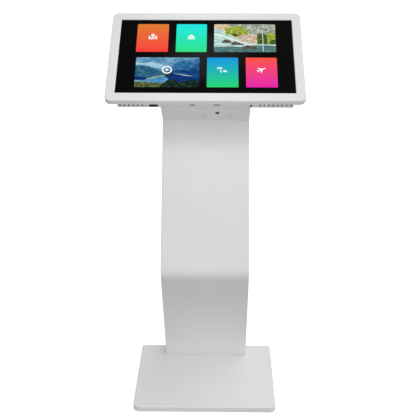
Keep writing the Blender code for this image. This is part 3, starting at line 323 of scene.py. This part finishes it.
def disc(centre, radius, sides=32):
    """The outline of a circle."""
    return [(centre[0] + radius * math.cos(2 * math.pi * i / sides),
             centre[1] + radius * math.sin(2 * math.pi * i / sides)) for i in range(sides)]


def bar(left, low, right, high):
    """The outline of a rectangle."""
    return [(left, low), (right, low), (right, high), (left, high)]


def panel(left, low, right, high, radius, steps=6):
    """The outline of a rectangle with round corners, anticlockwise."""
    points = []
    for x, y, start in ((right - radius, high - radius, 0), (left + radius, high - radius, 90),
                        (left + radius, low + radius, 180), (right - radius, low + radius, 270)):
        for step in range(steps + 1):
            angle = math.radians(start + 90 * step / steps)
            points.append((x + radius * math.cos(angle), y + radius * math.sin(angle)))
    return points


def piece(name, bm, materials, place, body):
    """Finishes a piece from a bmesh: placed and riding on its body."""
    bmesh.ops.recalc_face_normals(bm, faces=bm.faces[:])
    mesh = bpy.data.meshes.new(name)
    bm.to_mesh(mesh)
    bm.free()
    obj = bpy.data.objects.new(name, mesh)
    scene.collection.objects.link(obj)
    for mat in materials:
        mesh.materials.append(mat)
    obj.matrix_world = place
    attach(obj, body)


# ---------------------------------------------------------------------------------------------------
# The lit page on the glass: six tiles on near-black, in metres from the middle of the screen.

PAGE_LOW = 0.00002      # heights above the glass
PAGE_HIGH = 0.00008
TILE_HIGH = 0.00014
MARK_HIGH = 0.00050
LAYER = 0.00002         # each layer of a picture stands this much over the one before
TILE_RADIUS = 0.0028
PAGE_RADIUS = 0.0004
ROW_HIGH = (0.0136, 0.1203)
ROW_LOW = (-0.1142, -0.0072)

GLOW_HALF_WIDTH = 1 / 6
GLOW_HALF_HEIGHT = 1 / 7
PAGE_CLEARANCE = 0.0002
half_width = SCREEN_WIDTH / 2 - PAGE_CLEARANCE
half_height = SCREEN_HEIGHT / 2 - PAGE_CLEARANCE


def page_colour(tree):
    """Near-black, a little lighter towards the middle of the page."""
    place = tree.nodes.new("ShaderNodeTexCoord")
    mapping = tree.nodes.new("ShaderNodeMapping")
    mapping.inputs["Scale"].default_value = (1 / GLOW_HALF_WIDTH, 1 / GLOW_HALF_HEIGHT, 0.0)
    tree.links.new(place.outputs["Object"], mapping.inputs["Vector"])
    ball = tree.nodes.new("ShaderNodeTexGradient")
    ball.gradient_type = "SPHERICAL"
    tree.links.new(mapping.outputs["Vector"], ball.inputs["Vector"])
    stops = [(0.0, tone(6, 6, 6)), (0.3, tone(12, 11, 11)), (0.57, tone(31, 30, 30)), (1.0, tone(37, 36, 37))]
    return ramp(tree, ball.outputs["Fac"], stops)


bm = bmesh.new()
page = panel(-half_width, -half_height, half_width, half_height, PAGE_RADIUS, 2)
prism(bm, page, PAGE_LOW, PAGE_HIGH)
PAGE_BLACK = lit("page_black", page_colour)
piece("page_ground", bm, [PAGE_BLACK], GLASS, "root")


def tile(name, left, right, row, bottom, top):
    """One plain tile of the page, fading from its lower colour to its upper colour."""
    bm = bmesh.new()
    prism(bm, panel(left, row[0], right, row[1], TILE_RADIUS), PAGE_HIGH, TILE_HIGH)
    colours = fade(name + "_colours", tone(*bottom), tone(*top), row[0], row[1])
    piece(name, bm, [colours], GLASS, "root")


tile("tile_map", -0.1929, -0.1051, ROW_HIGH, (252, 62, 60), (224, 122, 52))
tile("tile_museum", -0.0835, 0.0015, ROW_HIGH, (48, 228, 132), (32, 232, 228))
tile("tile_beach", 0.0035, 0.0880, ROW_LOW, (40, 214, 110), (24, 150, 222))
tile("tile_flight", 0.1085, 0.1930, ROW_LOW, (232, 36, 170), (252, 84, 56))

MARK_WHITE = fade("mark_white", tone(246, 250, 250), tone(252, 254, 254), -half_height, half_height)


def mark(name, centre, shapes, rings=(), turn=0.0, scale=1.0):
    """A white icon made of flat shapes and rings, turned about its own middle."""
    bm = bmesh.new()
    for shape in shapes:
        prism(bm, shape, TILE_HIGH, MARK_HIGH)
    for where, inner, outer in rings:
        annulus(bm, where, inner, outer, TILE_HIGH, MARK_HIGH)
    place = (GLASS @ Matrix.Translation((centre[0], centre[1], 0.0)) @ Matrix.Rotation(turn, 4, "Z")
             @ Matrix.Diagonal((scale, scale, 1.0, 1.0)))
    piece(name, bm, [MARK_WHITE], place, "root")


# A folded map with a pin over it.
mark("mark_map", (-0.1486, 0.0715), [
    [(-0.0116, -0.0086), (-0.0070, -0.0108), (-0.0070, 0.0008), (-0.0116, 0.0032)],
    [(-0.0058, -0.0108), (0.0058, -0.0086), (0.0058, -0.0022), (0.0000, -0.0074), (-0.0058, -0.0022)],
    [(0.0070, -0.0086), (0.0116, -0.0108), (0.0116, 0.0032), (0.0070, 0.0008)],
    [(0.0000, -0.0050), (0.0044, 0.0032), (0.0032, 0.0044), (-0.0032, 0.0044), (-0.0044, 0.0032)],
], rings=[((0.0, 0.0060), 0.0022, 0.0052)])

# A small building with a pitched roof, four columns and a step.
mark("mark_museum", (-0.0414, 0.0705), [
    [(-0.0100, 0.0010), (0.0100, 0.0010), (0.0, 0.0085)],
    [(-0.0080, -0.0058), (-0.0052, -0.0058), (-0.0052, 0.0005), (-0.0080, 0.0005)],
    [(-0.0034, -0.0058), (-0.0008, -0.0058), (-0.0008, 0.0005), (-0.0034, 0.0005)],
    [(0.0008, -0.0058), (0.0034, -0.0058), (0.0034, 0.0005), (0.0008, 0.0005)],
    [(0.0052, -0.0058), (0.0080, -0.0058), (0.0080, 0.0005), (0.0052, 0.0005)],
    [(-0.0112, -0.0084), (0.0112, -0.0084), (0.0096, -0.0062), (-0.0096, -0.0062)],
])


def frond(angle, length=0.0078, droop=0.0026, width=0.0016):
    """One curved palm leaf from the crown outwards."""
    upper, lower = [], []
    for step in range(7):
        t = step / 6
        x = length * t
        y = droop * math.sin(math.pi * t) - droop * 0.9 * t * t
        thick = width * math.sin(math.pi * min(1.0, t * 0.9 + 0.1))
        upper.append((x, y + thick / 2))
        lower.append((x, y - thick / 2))
    turn = Matrix.Rotation(angle, 2)
    return [tuple(turn @ Vector(p)) for p in upper + lower[::-1]]


def moved(shape, x, y, mirror=False):
    """A shape set at a new place, and mirrored left to right if asked."""
    points = [((-px if mirror else px) + x, py + y) for px, py in shape]
    return points[::-1] if mirror else points


crown = (-0.0055, 0.0045)
mark("mark_beach", (0.0441, -0.0530), [
    moved(frond(math.radians(28)), *crown),
    moved(frond(math.radians(64), 0.0058), *crown),
    moved(frond(math.radians(60), 0.0058), crown[0], crown[1], True),
    moved(frond(math.radians(-12)), *crown),
    moved(frond(math.radians(24)), crown[0], crown[1], True),
    moved(frond(math.radians(-16)), crown[0], crown[1], True),
    [(-0.0062, 0.0045), (-0.0048, 0.0045), (-0.0018, -0.0040), (0.0000, -0.0085), (-0.0022, -0.0085)],
    [(0.0012, -0.0052), (0.0040, -0.0012), (0.0080, -0.0004), (0.0112, -0.0030), (0.0128, -0.0072),
     (0.0094, -0.0056), (0.0062, -0.0066), (0.0040, -0.0048)],
], scale=1.12)

# An aeroplane seen from above, climbing to the right.
wing = [(0.0030, 0.0014), (-0.0060, 0.0105), (-0.0082, 0.0105), (-0.0034, 0.0014)]
tail = [(-0.0098, 0.0010), (-0.0128, 0.0042), (-0.0142, 0.0042), (-0.0128, 0.0010)]
body = [(0.0138, 0.0), (0.0118, 0.0013), (0.0080, 0.0018), (-0.0130, 0.0012), (-0.0138, 0.0),
        (-0.0130, -0.0012), (0.0080, -0.0018), (0.0118, -0.0013)]
mark("mark_flight", (0.1509, -0.0510), [body, wing, tail] + [[(x, -y) for x, y in reversed(shape)]
                                                            for shape in (wing, tail)],
     turn=math.radians(28), scale=0.95)

# A play sign in a ring.
mark("mark_play", (-0.1044, -0.0527), [[(-0.0036, -0.0054), (0.0058, 0.0), (-0.0036, 0.0054)]],
     rings=[((0.0, 0.0), 0.0098, 0.0139)])


# ---------------------------------------------------------------------------------------------------
# The two picture tiles: landscapes in cut layers, each outline in fractions of its tile.

def corner_masks(left, low, right, high, radius, steps=5, margin=0.0001):
    """The four spaces outside round corners, which lie over the square corners of a picture's layers."""
    masks = []
    for x, y, sx, sy in ((right, high, 1, 1), (left, high, -1, 1), (left, low, -1, -1), (right, low, 1, -1)):
        arc = [(x - sx * radius * (1 - math.cos(math.pi / 2 * i / steps)),
                y - sy * radius * (1 - math.sin(math.pi / 2 * i / steps))) for i in range(steps + 1)]
        corner_x = x + sx * margin
        corner_y = y + sy * margin
        masks.append([(corner_x, corner_y), (corner_x, arc[0][1])] + arc + [(arc[-1][0], corner_y)])
    return masks


def picture(name, left, right, row, layers):
    """A picture tile. Each layer is a material and a list of outlines that lie over the layers before."""
    bm = bmesh.new()
    width, height = right - left, row[1] - row[0]
    prism(bm, panel(left, row[0], right, row[1], TILE_RADIUS), PAGE_HIGH, TILE_HIGH)
    high = TILE_HIGH
    for slot, (_, outlines) in enumerate(layers[1:], start=1):
        for outline in outlines:
            points = [(left + x * width, row[0] + y * height) for x, y in outline]
            prism(bm, points, PAGE_HIGH, high + LAYER, slot)
        high += LAYER
    for mask in corner_masks(left, row[0], right, row[1], TILE_RADIUS):
        prism(bm, mask, PAGE_HIGH, high + LAYER, len(layers))
    piece(name, bm, [mat for mat, _ in layers] + [PAGE_BLACK], GLASS, "root")


def ridge(points, foot, seed, rough=0.018, steps=5):
    """The outline of a hill: a rough skyline through the points, closed along a foot line."""
    rng = random.Random(seed)
    line = []
    for (x0, y0), (x1, y1) in zip(points, points[1:]):
        for step in range(steps):
            t = step / steps
            line.append((x0 + (x1 - x0) * t, y0 + (y1 - y0) * t + rng.uniform(-rough, rough) * (step > 0)))
    line.append(points[-1])
    return [(points[0][0], foot)] + line + [(points[-1][0], foot)]


lake_layers = [
    (mottled("lake_sky", [(0.25, (60, 104, 150)), (0.5, (96, 150, 186)), (0.72, (140, 186, 206))],
             38.0, (1.0, 2.0, 1.0), 0.5), []),
    (mottled("lake_far_range", [(0.3, (24, 66, 120)), (0.55, (48, 110, 160)), (0.75, (88, 150, 184))],
             60.0, (1.0, 2.6, 1.0), -0.6),
     [ridge([(0.52, 0.62), (0.62, 0.80), (0.76, 0.92), (0.90, 0.84), (1.0, 0.97)], 0.30, 3)]),
    (mottled("lake_cloud", [(0.3, (120, 176, 204)), (0.6, (176, 212, 222)), (0.8, (206, 226, 228))],
             70.0, (1.0, 3.0, 1.0)),
     [[(0.0, 0.84), (0.12, 0.80), (0.24, 0.84), (0.36, 0.80), (0.45, 0.72), (0.44, 0.62), (0.34, 0.64),
       (0.22, 0.70), (0.10, 0.74), (0.0, 0.74)]]),
    (mottled("lake_left_hill", [(0.28, (20, 62, 104)), (0.5, (40, 96, 128)), (0.72, (74, 130, 142))],
             66.0, (1.0, 1.8, 1.0), 0.7),
     [ridge([(0.0, 0.74), (0.10, 0.72), (0.22, 0.68), (0.34, 0.60), (0.44, 0.52), (0.52, 0.40)], 0.28, 5)]),
    (mottled("lake_right_hill", [(0.28, (6, 34, 92)), (0.5, (16, 66, 130)), (0.74, (44, 108, 150))],
             50.0, (1.0, 1.6, 1.0), -0.5),
     [ridge([(0.46, 0.46), (0.56, 0.52), (0.68, 0.58), (0.80, 0.56), (0.90, 0.68), (1.0, 0.78)], 0.26, 7)]),
    (mottled("lake_water_light", [(0.3, (36, 104, 162)), (0.55, (78, 150, 196)), (0.75, (136, 190, 216))],
             60.0, (1.0, 5.0, 1.0)),
     [[(0.20, 0.21), (0.26, 0.28), (0.36, 0.32), (0.46, 0.34), (0.53, 0.29), (0.55, 0.22), (0.46, 0.16),
       (0.28, 0.16)]]),
    (mottled("lake_water_deep", [(0.3, (6, 32, 92)), (0.6, (14, 54, 124)), (0.8, (34, 84, 150))],
             40.0, (1.0, 5.0, 1.0)),
     [[(0.50, 0.36), (0.62, 0.36), (0.76, 0.34), (0.92, 0.32), (1.0, 0.28), (1.0, 0.16), (0.54, 0.18)],
      [(0.0, 0.36), (0.14, 0.34), (0.22, 0.30), (0.14, 0.22), (0.0, 0.24)]]),
    (mottled("lake_shore", [(0.3, (112, 142, 96)), (0.5, (184, 196, 128)), (0.72, (214, 224, 214))],
             90.0),
     [[(0.16, 0.27), (0.26, 0.32), (0.34, 0.37), (0.46, 0.38), (0.46, 0.355), (0.34, 0.335), (0.26, 0.285)],
      [(0.60, 0.46), (0.68, 0.44), (0.80, 0.395), (0.90, 0.37), (0.90, 0.358), (0.79, 0.38), (0.67, 0.425)]]),
    (mottled("lake_spur", [(0.3, (8, 30, 66)), (0.6, (22, 60, 96)), (0.8, (60, 100, 96))], 80.0),
     [[(0.44, 0.50), (0.52, 0.54), (0.58, 0.46), (0.62, 0.38), (0.56, 0.33), (0.50, 0.34), (0.46, 0.40)]]),
    (mottled("lake_meadow", [(0.28, (26, 46, 34)), (0.5, (74, 92, 50)), (0.74, (150, 148, 88))],
             80.0, (1.0, 2.4, 1.0)),
     [ridge([(0.0, 0.19), (0.14, 0.17), (0.28, 0.15), (0.42, 0.13), (0.56, 0.20)], 0.0, 9, 0.016)]),
    (mottled("lake_woods", [(0.3, (6, 18, 22)), (0.55, (20, 44, 34)), (0.78, (72, 96, 46))], 110.0),
     [ridge([(0.40, 0.05), (0.50, 0.22), (0.58, 0.26), (0.66, 0.18), (0.80, 0.20), (0.92, 0.24), (1.0, 0.20)],
            0.0, 11, 0.03, 7)]),
]
picture("tile_lake_picture", -0.1900, -0.0170, ROW_LOW, lake_layers)


def scattered(seed, count, region, size):
    """Small roofs: turned rectangles spread over a region given as (left, low, right, high)."""
    rng = random.Random(seed)
    shapes = []
    for _ in range(count):
        x = rng.uniform(region[0], region[2])
        y = rng.uniform(region[1], region[3])
        half_x, half_y = rng.uniform(0.5, 1.0) * size, rng.uniform(0.5, 1.0) * size * 1.3
        angle = rng.uniform(-0.5, 0.9)
        turn = Matrix.Rotation(angle, 2)
        corners = [(-half_x, -half_y), (half_x, -half_y), (half_x, half_y), (-half_x, half_y)]
        shapes.append([(x + (turn @ Vector(c))[0], y + (turn @ Vector(c))[1]) for c in corners])
    return shapes


coast_layers = [
    (mottled("coast_sea", [(0.28, (140, 186, 184)), (0.5, (182, 214, 206)), (0.72, (226, 240, 232))],
             46.0, (1.0, 3.2, 1.0), 0.3), []),
    (mottled("coast_deep", [(0.3, (52, 92, 98)), (0.55, (84, 126, 126)), (0.78, (122, 158, 152))],
             50.0, (1.0, 4.0, 1.0)),
     [[(0.0, 0.0), (1.0, 0.0), (1.0, 0.22), (0.80, 0.24), (0.62, 0.24), (0.42, 0.18), (0.22, 0.20),
       (0.0, 0.17)]]),
    (mottled("coast_sand", [(0.3, (190, 160, 124)), (0.55, (226, 204, 172)), (0.75, (246, 232, 208))],
             80.0),
     [[(0.0, 1.0), (0.22, 1.0), (0.34, 0.80), (0.44, 0.64), (0.66, 0.62), (0.84, 0.60), (0.84, 0.28),
       (0.70, 0.27),
       (0.56, 0.34), (0.42, 0.44), (0.30, 0.56), (0.22, 0.68), (0.12, 0.78), (0.0, 0.84)]]),
    (mottled("coast_hills", [(0.3, (110, 128, 118)), (0.5, (158, 170, 150)), (0.72, (206, 210, 190))],
             60.0),
     [[(0.20, 1.0), (1.0, 1.0), (1.0, 0.62), (0.72, 0.60), (0.56, 0.66), (0.44, 0.72), (0.32, 0.84)]]),
    (mottled("coast_trees_sunlit", [(0.30, (46, 66, 30)), (0.44, (104, 132, 38)), (0.56, (184, 194, 62)),
                                    (0.70, (226, 222, 140))], 210.0),
     [ridge([(0.18, 0.84), (0.30, 0.92), (0.42, 0.94), (0.52, 0.86), (0.56, 0.74)], 0.62, 21, 0.03),
      [(0.24, 0.72), (0.38, 0.76), (0.54, 0.72), (0.46, 0.58), (0.36, 0.55), (0.28, 0.60)],
      ridge([(0.84, 0.62), (0.90, 0.70), (1.0, 0.68)], 0.27, 23, 0.03),
      ]),
    (mottled("coast_trees_dark", [(0.32, (22, 46, 26)), (0.52, (58, 88, 40)), (0.72, (126, 150, 62))],
             170.0, (1.6, 0.8, 1.0)),
     [ridge([(0.70, 0.60), (0.76, 0.68), (0.86, 0.62)], 0.28, 25, 0.03),
      [(0.26, 0.66), (0.36, 0.66), (0.42, 0.58), (0.34, 0.54)],
      [(0.90, 0.40), (1.0, 0.46), (1.0, 0.28), (0.90, 0.27)]]),
    (mottled("coast_roofs_pale", [(0.3, (168, 150, 138)), (0.55, (214, 200, 188)), (0.75, (240, 232, 222))],
             240.0),
     scattered(31, 34, (0.38, 0.36, 0.68, 0.60), 0.022) + scattered(33, 16, (0.60, 0.72, 0.96, 0.94), 0.024)),
    (mottled("coast_roofs_red", [(0.3, (134, 92, 78)), (0.55, (176, 132, 112)), (0.75, (208, 176, 156))],
             240.0),
     scattered(35, 26, (0.40, 0.34, 0.70, 0.60), 0.016)),
    (mottled("coast_roofs_slate", [(0.3, (74, 92, 102)), (0.55, (116, 132, 138)), (0.75, (166, 178, 180))],
             240.0),
     scattered(37, 22, (0.62, 0.66, 0.96, 0.96), 0.020)),
    (mottled("coast_rocks", [(0.3, (40, 52, 52)), (0.52, (88, 84, 76)), (0.74, (142, 120, 104))],
             170.0, (1.0, 1.7, 1.0), 0.5),
     [ridge([(0.13, 0.37), (0.18, 0.45), (0.24, 0.43), (0.29, 0.35)], 0.32, 41, 0.02),
      ridge([(0.28, 0.34), (0.34, 0.38), (0.41, 0.34), (0.48, 0.29)], 0.25, 42, 0.02),
      ridge([(0.46, 0.19), (0.54, 0.24), (0.62, 0.20), (0.71, 0.14)], 0.10, 43, 0.02)]),
    (mottled("coast_surf", [(0.3, (200, 222, 216)), (0.6, (240, 246, 240)), (0.8, (252, 254, 250))],
             160.0),
     [[(0.0, 0.66), (0.08, 0.64), (0.16, 0.58), (0.24, 0.52), (0.36, 0.43), (0.52, 0.31), (0.64, 0.25),
       (0.64, 0.235),
       (0.50, 0.28), (0.34, 0.39), (0.22, 0.485), (0.14, 0.54), (0.0, 0.60)],
      [(0.787, 0.02), (0.797, 0.02), (0.797, 0.66), (0.787, 0.66)]]),
]
picture("tile_coast_picture", 0.0220, 0.1927, ROW_HIGH, coast_layers)


# ---------------------------------------------------------------------------------------------------
# Dust filters behind the slots in the head's lower and upper walls; their near-black also paints the shade
# inside the slots.

# Black foam, near-black so that it also stands in for the shade inside the head behind the slots.
FILTER_FOAM_AND_SLOT_SHADE = surface("filter_foam_and_painted_shade", (0.004, 0.004, 0.004), (0.016, 0.016, 0.017), (0.80, 0.95), 1400.0,
               0.0004, specular=0.1, patch=220.0)
LOWER_WALL_INSIDE = -0.1352
UPPER_WALL_INSIDE = 0.1337
FILTER_THICK = 0.0012
FILTER_BACK = -0.0540
FILTER_FRONT = -0.0235

for name, left, right, low in (
        ("lower_filter_left", -0.2365, -0.1640, LOWER_WALL_INSIDE),
        ("lower_filter_right", 0.1405, 0.2370, LOWER_WALL_INSIDE),
        ("upper_filter_left", -0.2370, -0.1405, UPPER_WALL_INSIDE - FILTER_THICK),
        ("upper_filter_right", 0.1405, 0.2370, UPPER_WALL_INSIDE - FILTER_THICK)):
    bm = bmesh.new()
    prism(bm, bar(left, low, right, low + FILTER_THICK), FILTER_BACK, FILTER_FRONT)
    piece(name, bm, [FILTER_FOAM_AND_SLOT_SHADE], GLASS, "root")


# ---------------------------------------------------------------------------------------------------
# Detail on the equipment behind the door. In this frame Y runs up the lower column and -Z points out.

BASE_HEIGHT = 0.017
COLUMN_FRONT_Y = 0.0981
COLUMN_DEPTH = 0.048
column_back_y = COLUMN_FRONT_Y + COLUMN_DEPTH / math.cos(LOWER_LEAN)
BAY = tilted(math.pi / 2 - LOWER_LEAN, (0.0, column_back_y, BASE_HEIGHT))

SOCKET_FACE = surface("strip_socket_plastic", (0.060, 0.060, 0.064), (0.085, 0.085, 0.088), (0.35, 0.50),
                      1200.0, 0.00003, patch=40.0)
# Near-black for openings that are not cut: it paints the shade inside pin holes and slots.
OPENING_SHADE_BLACK = surface("painted_opening_shade", (0.001, 0.001, 0.001), (0.003, 0.003, 0.003), (0.80, 0.95),
                    900.0, 0.00001, specular=0.1)
MARK_PAINT = surface("white_symbol_ink", (0.66, 0.66, 0.66), (0.74, 0.74, 0.74), (0.50, 0.65), 900.0,
                     0.00001, patch=300.0)


def lens_colour(tree):
    """Green, with paler specks."""
    grain = noise(tree, texture_place(tree), 900.0)
    return ramp(tree, grain, [(0.2, (0.05, 0.9, 0.2, 1.0)), (0.9, (0.9, 1.0, 0.9, 1.0))])


def detail(bm, outline, face, proud, slot=0, sunk=0.0002):
    """A thin detail on a face that looks along -Z, a little sunk into it."""
    prism(bm, outline, face - proud, face + sunk, slot)


# Four sockets in the power strip, each a ring, a face and three pin holes; the holes are near-black discs of
# painted shade.
STRIP_FACE = 0.014
STRIP_HEIGHT = 0.106
SOCKET_PITCH = 0.036
RING_PROUD = 0.0010
FACE_PROUD = 0.0003
PINS = ((-0.0046, 0.0, 0.0022), (0.0046, 0.0, 0.0022), (0.0, 0.0062, 0.0018))
bm = bmesh.new()
for index in range(4):
    x = SOCKET_PITCH * (index - 1.5)
    annulus(bm, (x, STRIP_HEIGHT), 0.0120, 0.0142, STRIP_FACE - RING_PROUD, STRIP_FACE + 0.0002)
    detail(bm, disc((x, STRIP_HEIGHT), 0.0118), STRIP_FACE, FACE_PROUD)
    for dx, dy, radius in PINS:
        hole = disc((x + dx, STRIP_HEIGHT + dy), radius, 20)
        detail(bm, hole, STRIP_FACE - FACE_PROUD, 0.0002, slot=1, sunk=0.0)
piece("strip_sockets", bm, [SOCKET_FACE, OPENING_SHADE_BLACK], BAY, "root")

# The media player's air slots, lid screws, blank label plate and running lamp; the air slots and the drive
# slots in the screws are near-black marks of painted shade.
PLAYER_FACE = 0.016
AIR_SLOTS = 11
AIR_SLOT_PITCH = 0.0072
SCREW_PROUD = 0.0008
bm = bmesh.new()
for index in range(AIR_SLOTS):
    x = AIR_SLOT_PITCH * (index - (AIR_SLOTS - 1) / 2)
    detail(bm, panel(x - 0.0014, 0.232, x + 0.0014, 0.262, 0.0013, 4), PLAYER_FACE, 0.0002)
for x in (-0.052, 0.052):
    for y in (0.224, 0.304):
        detail(bm, disc((x, y), 0.0030, 24), PLAYER_FACE, SCREW_PROUD, slot=1)
        # The drive slot in each screw head is a near-black mark of painted shade.
        drive = bar(x - 0.0021, y - 0.0004, x + 0.0021, y + 0.0004)
        detail(bm, drive, PLAYER_FACE - SCREW_PROUD, 0.0002, sunk=0.0)
detail(bm, panel(-0.030, 0.276, 0.030, 0.298, 0.0020, 4), PLAYER_FACE, 0.0004, slot=2)
detail(bm, disc((0.0420, 0.2870), 0.0016, 20), PLAYER_FACE, 0.0006, slot=3)
GREEN_LENS = lit("green_lens", lens_colour, 0.8)
piece("player_details", bm, [OPENING_SHADE_BLACK, ZINC, SOCKET_FACE, GREEN_LENS], BAY, "root")

# The on and off marks on the mains rocker, one on each slope of its face.
ROCKER_REST = math.radians(7)
ROCKER_PIVOT = BAY @ tilted(ROCKER_REST, (0.040, 0.042, 0.0012))
ROCKER_SLOPE = math.atan(0.0018 / 0.0080)
MARK_FROM_PIVOT = 0.0042
MARK_OUT = 0.005345
MARK_HALF = 0.0001
for name, side in (("rocker_mark_on", 1), ("rocker_mark_off", -1)):
    bm = bmesh.new()
    if side > 0:
        prism(bm, bar(-0.0003, -0.0014, 0.0003, 0.0014), -MARK_HALF, MARK_HALF)
    else:
        annulus(bm, (0.0, 0.0), 0.0010, 0.0015, -MARK_HALF, MARK_HALF, 28)
    slope = tilted(-side * ROCKER_SLOPE, (0.0, side * MARK_FROM_PIVOT, -MARK_OUT))
    piece(name, bm, [MARK_PAINT], ROCKER_PIVOT @ slope, "rocker")


# ---------------------------------------------------------------------------------------------------
# Floor, light and camera

FLOOR_HALF = 30.0
FLOOR_DROP = 0.0002
FLOOR_GLOW = 0.50
bm = bmesh.new()
bmesh.ops.create_grid(bm, x_segments=2, y_segments=2, size=FLOOR_HALF)
floor_mesh = bpy.data.meshes.new("studio_floor")
bm.to_mesh(floor_mesh)
bm.free()
floor = bpy.data.objects.new("studio_floor", floor_mesh)
scene.collection.objects.link(floor)
floor.location.z = -FLOOR_DROP
floor_mat, floor_tree, floor_shader = new_material("floor_white")
floor_noise = noise(floor_tree, texture_place(floor_tree), 1.5, 3.0)
floor_tone = ramp(floor_tree, floor_noise, [(0.3, (0.90, 0.90, 0.90, 1.0)), (0.7, (0.93, 0.93, 0.93, 1.0))])
floor_tree.links.new(floor_tone, floor_shader.inputs["Base Color"])
floor_shader.inputs["Roughness"].default_value = 0.9
floor_shader.inputs["Specular IOR Level"].default_value = 0.1
floor_shader.inputs["Emission Color"].default_value = (1.0, 1.0, 1.0, 1.0)
floor_shader.inputs["Emission Strength"].default_value = FLOOR_GLOW
floor_mat.cycles.emission_sampling = "NONE"
floor_mesh.materials.append(floor_mat)
# The kiosk is lit from below by the world alone, so the floor neither lights it nor shades it.
floor.visible_diffuse = False
floor.visible_glossy = False
floor.visible_shadow = False

# The studio is brighter overhead than below, to the right than to the left, and behind than in front.
OVERHEAD_LEFT = (0.515, 0.515, 0.516, 1.0)
OVERHEAD_RIGHT = (1.155, 1.155, 1.153, 1.0)
BELOW_FRONT = (0.302, 0.302, 0.302, 1.0)
BELOW_BACK = (0.50, 0.50, 0.502, 1.0)
SOFT_STEP = 0.15      # how gradually one side of the studio passes into the other
world = bpy.data.worlds.new("studio")
scene.world = world
world.use_nodes = True
tree = world.node_tree
tree.nodes.clear()
sky_out = tree.nodes.new("ShaderNodeOutputWorld")
sky = tree.nodes.new("ShaderNodeBackground")
backdrop = tree.nodes.new("ShaderNodeBackground")
backdrop.inputs["Color"].default_value = (0.93, 0.93, 0.94, 1.0)
place = tree.nodes.new("ShaderNodeTexCoord")
parts = tree.nodes.new("ShaderNodeSeparateXYZ")
tree.links.new(place.outputs["Generated"], parts.inputs[0])
overhead = spread(tree, parts.outputs["Z"], 0.0, 1.0, -SOFT_STEP, SOFT_STEP)
rightwards = spread(tree, parts.outputs["X"], 0.0, 1.0, -SOFT_STEP, SOFT_STEP)
backwards = spread(tree, parts.outputs["Y"], 0.0, 1.0, -SOFT_STEP, SOFT_STEP)
upper = mixed(tree, rightwards, OVERHEAD_LEFT, OVERHEAD_RIGHT)
lower = mixed(tree, backwards, BELOW_FRONT, BELOW_BACK)
tree.links.new(mixed(tree, overhead, lower, upper), sky.inputs["Color"])
rays = tree.nodes.new("ShaderNodeLightPath")
choose = tree.nodes.new("ShaderNodeMixShader")
tree.links.new(rays.outputs["Is Camera Ray"], choose.inputs[0])
tree.links.new(sky.outputs[0], choose.inputs[1])
tree.links.new(backdrop.outputs[0], choose.inputs[2])
tree.links.new(choose.outputs[0], sky_out.inputs["Surface"])


def aim(obj, source, target):
    """Puts a light at source and turns it towards target."""
    obj.location = source
    obj.rotation_mode = "QUATERNION"
    obj.rotation_quaternion = (Vector(target) - Vector(source)).to_track_quat("-Z", "Y")


def lamp(name, kind, watts, source, target):
    """A lamp that the camera doesn't see."""
    data = bpy.data.lights.new(name, kind)
    data.energy = watts
    obj = bpy.data.objects.new(name, data)
    scene.collection.objects.link(obj)
    obj.visible_camera = False
    aim(obj, source, target)
    return data


SOFTBOX_SIZE = 1.0
softbox = lamp("head_softbox", "AREA", 2.4, (0.25, -0.80, 1.90), (0.0, 0.20, 0.95))
softbox.shape = "SQUARE"
softbox.size = SOFTBOX_SIZE

SPOT_SOFTNESS = 0.3
# Soft spots: name, watts, where it hangs, what it points at, and the width of its cone in degrees.
for name, watts, source, target, cone in (
        ("foot_fill", 27.0, (0.0, -1.60, 0.55), (0.0, 0.06, 0.03), 22),
        ("neck_fill", 66.0, (0.0, -1.40, 0.30), (0.0, 0.17, 0.78), 16),
        ("head_fill", 28.0, (0.0, -0.70, 2.40), (0.0, 0.15, 0.96), 23),
        ("base_fill", 21.0, (-0.60, -1.20, 1.50), (-0.03, -0.06, 0.017), 14)):
    fill = lamp(name, "SPOT", watts, source, target)
    fill.spot_size = math.radians(cone)
    fill.spot_blend = 1.0
    fill.shadow_soft_size = SPOT_SOFTNESS

CAMERA_PLACE = (0.03687, -1.83785, 1.4005)
CAMERA_PITCH = math.radians(65.284)
CAMERA_YAW = math.radians(0.716)
camera_data = bpy.data.cameras.new("camera")
camera_data.sensor_width = 36.0
camera_data.lens = 64.82
camera = bpy.data.objects.new("camera", camera_data)
scene.collection.objects.link(camera)
camera.location = CAMERA_PLACE
camera.rotation_euler = (CAMERA_PITCH, 0.0, CAMERA_YAW)
scene.camera = camera

scene.view_settings.view_transform = "Standard"
scene.view_settings.look = "None"
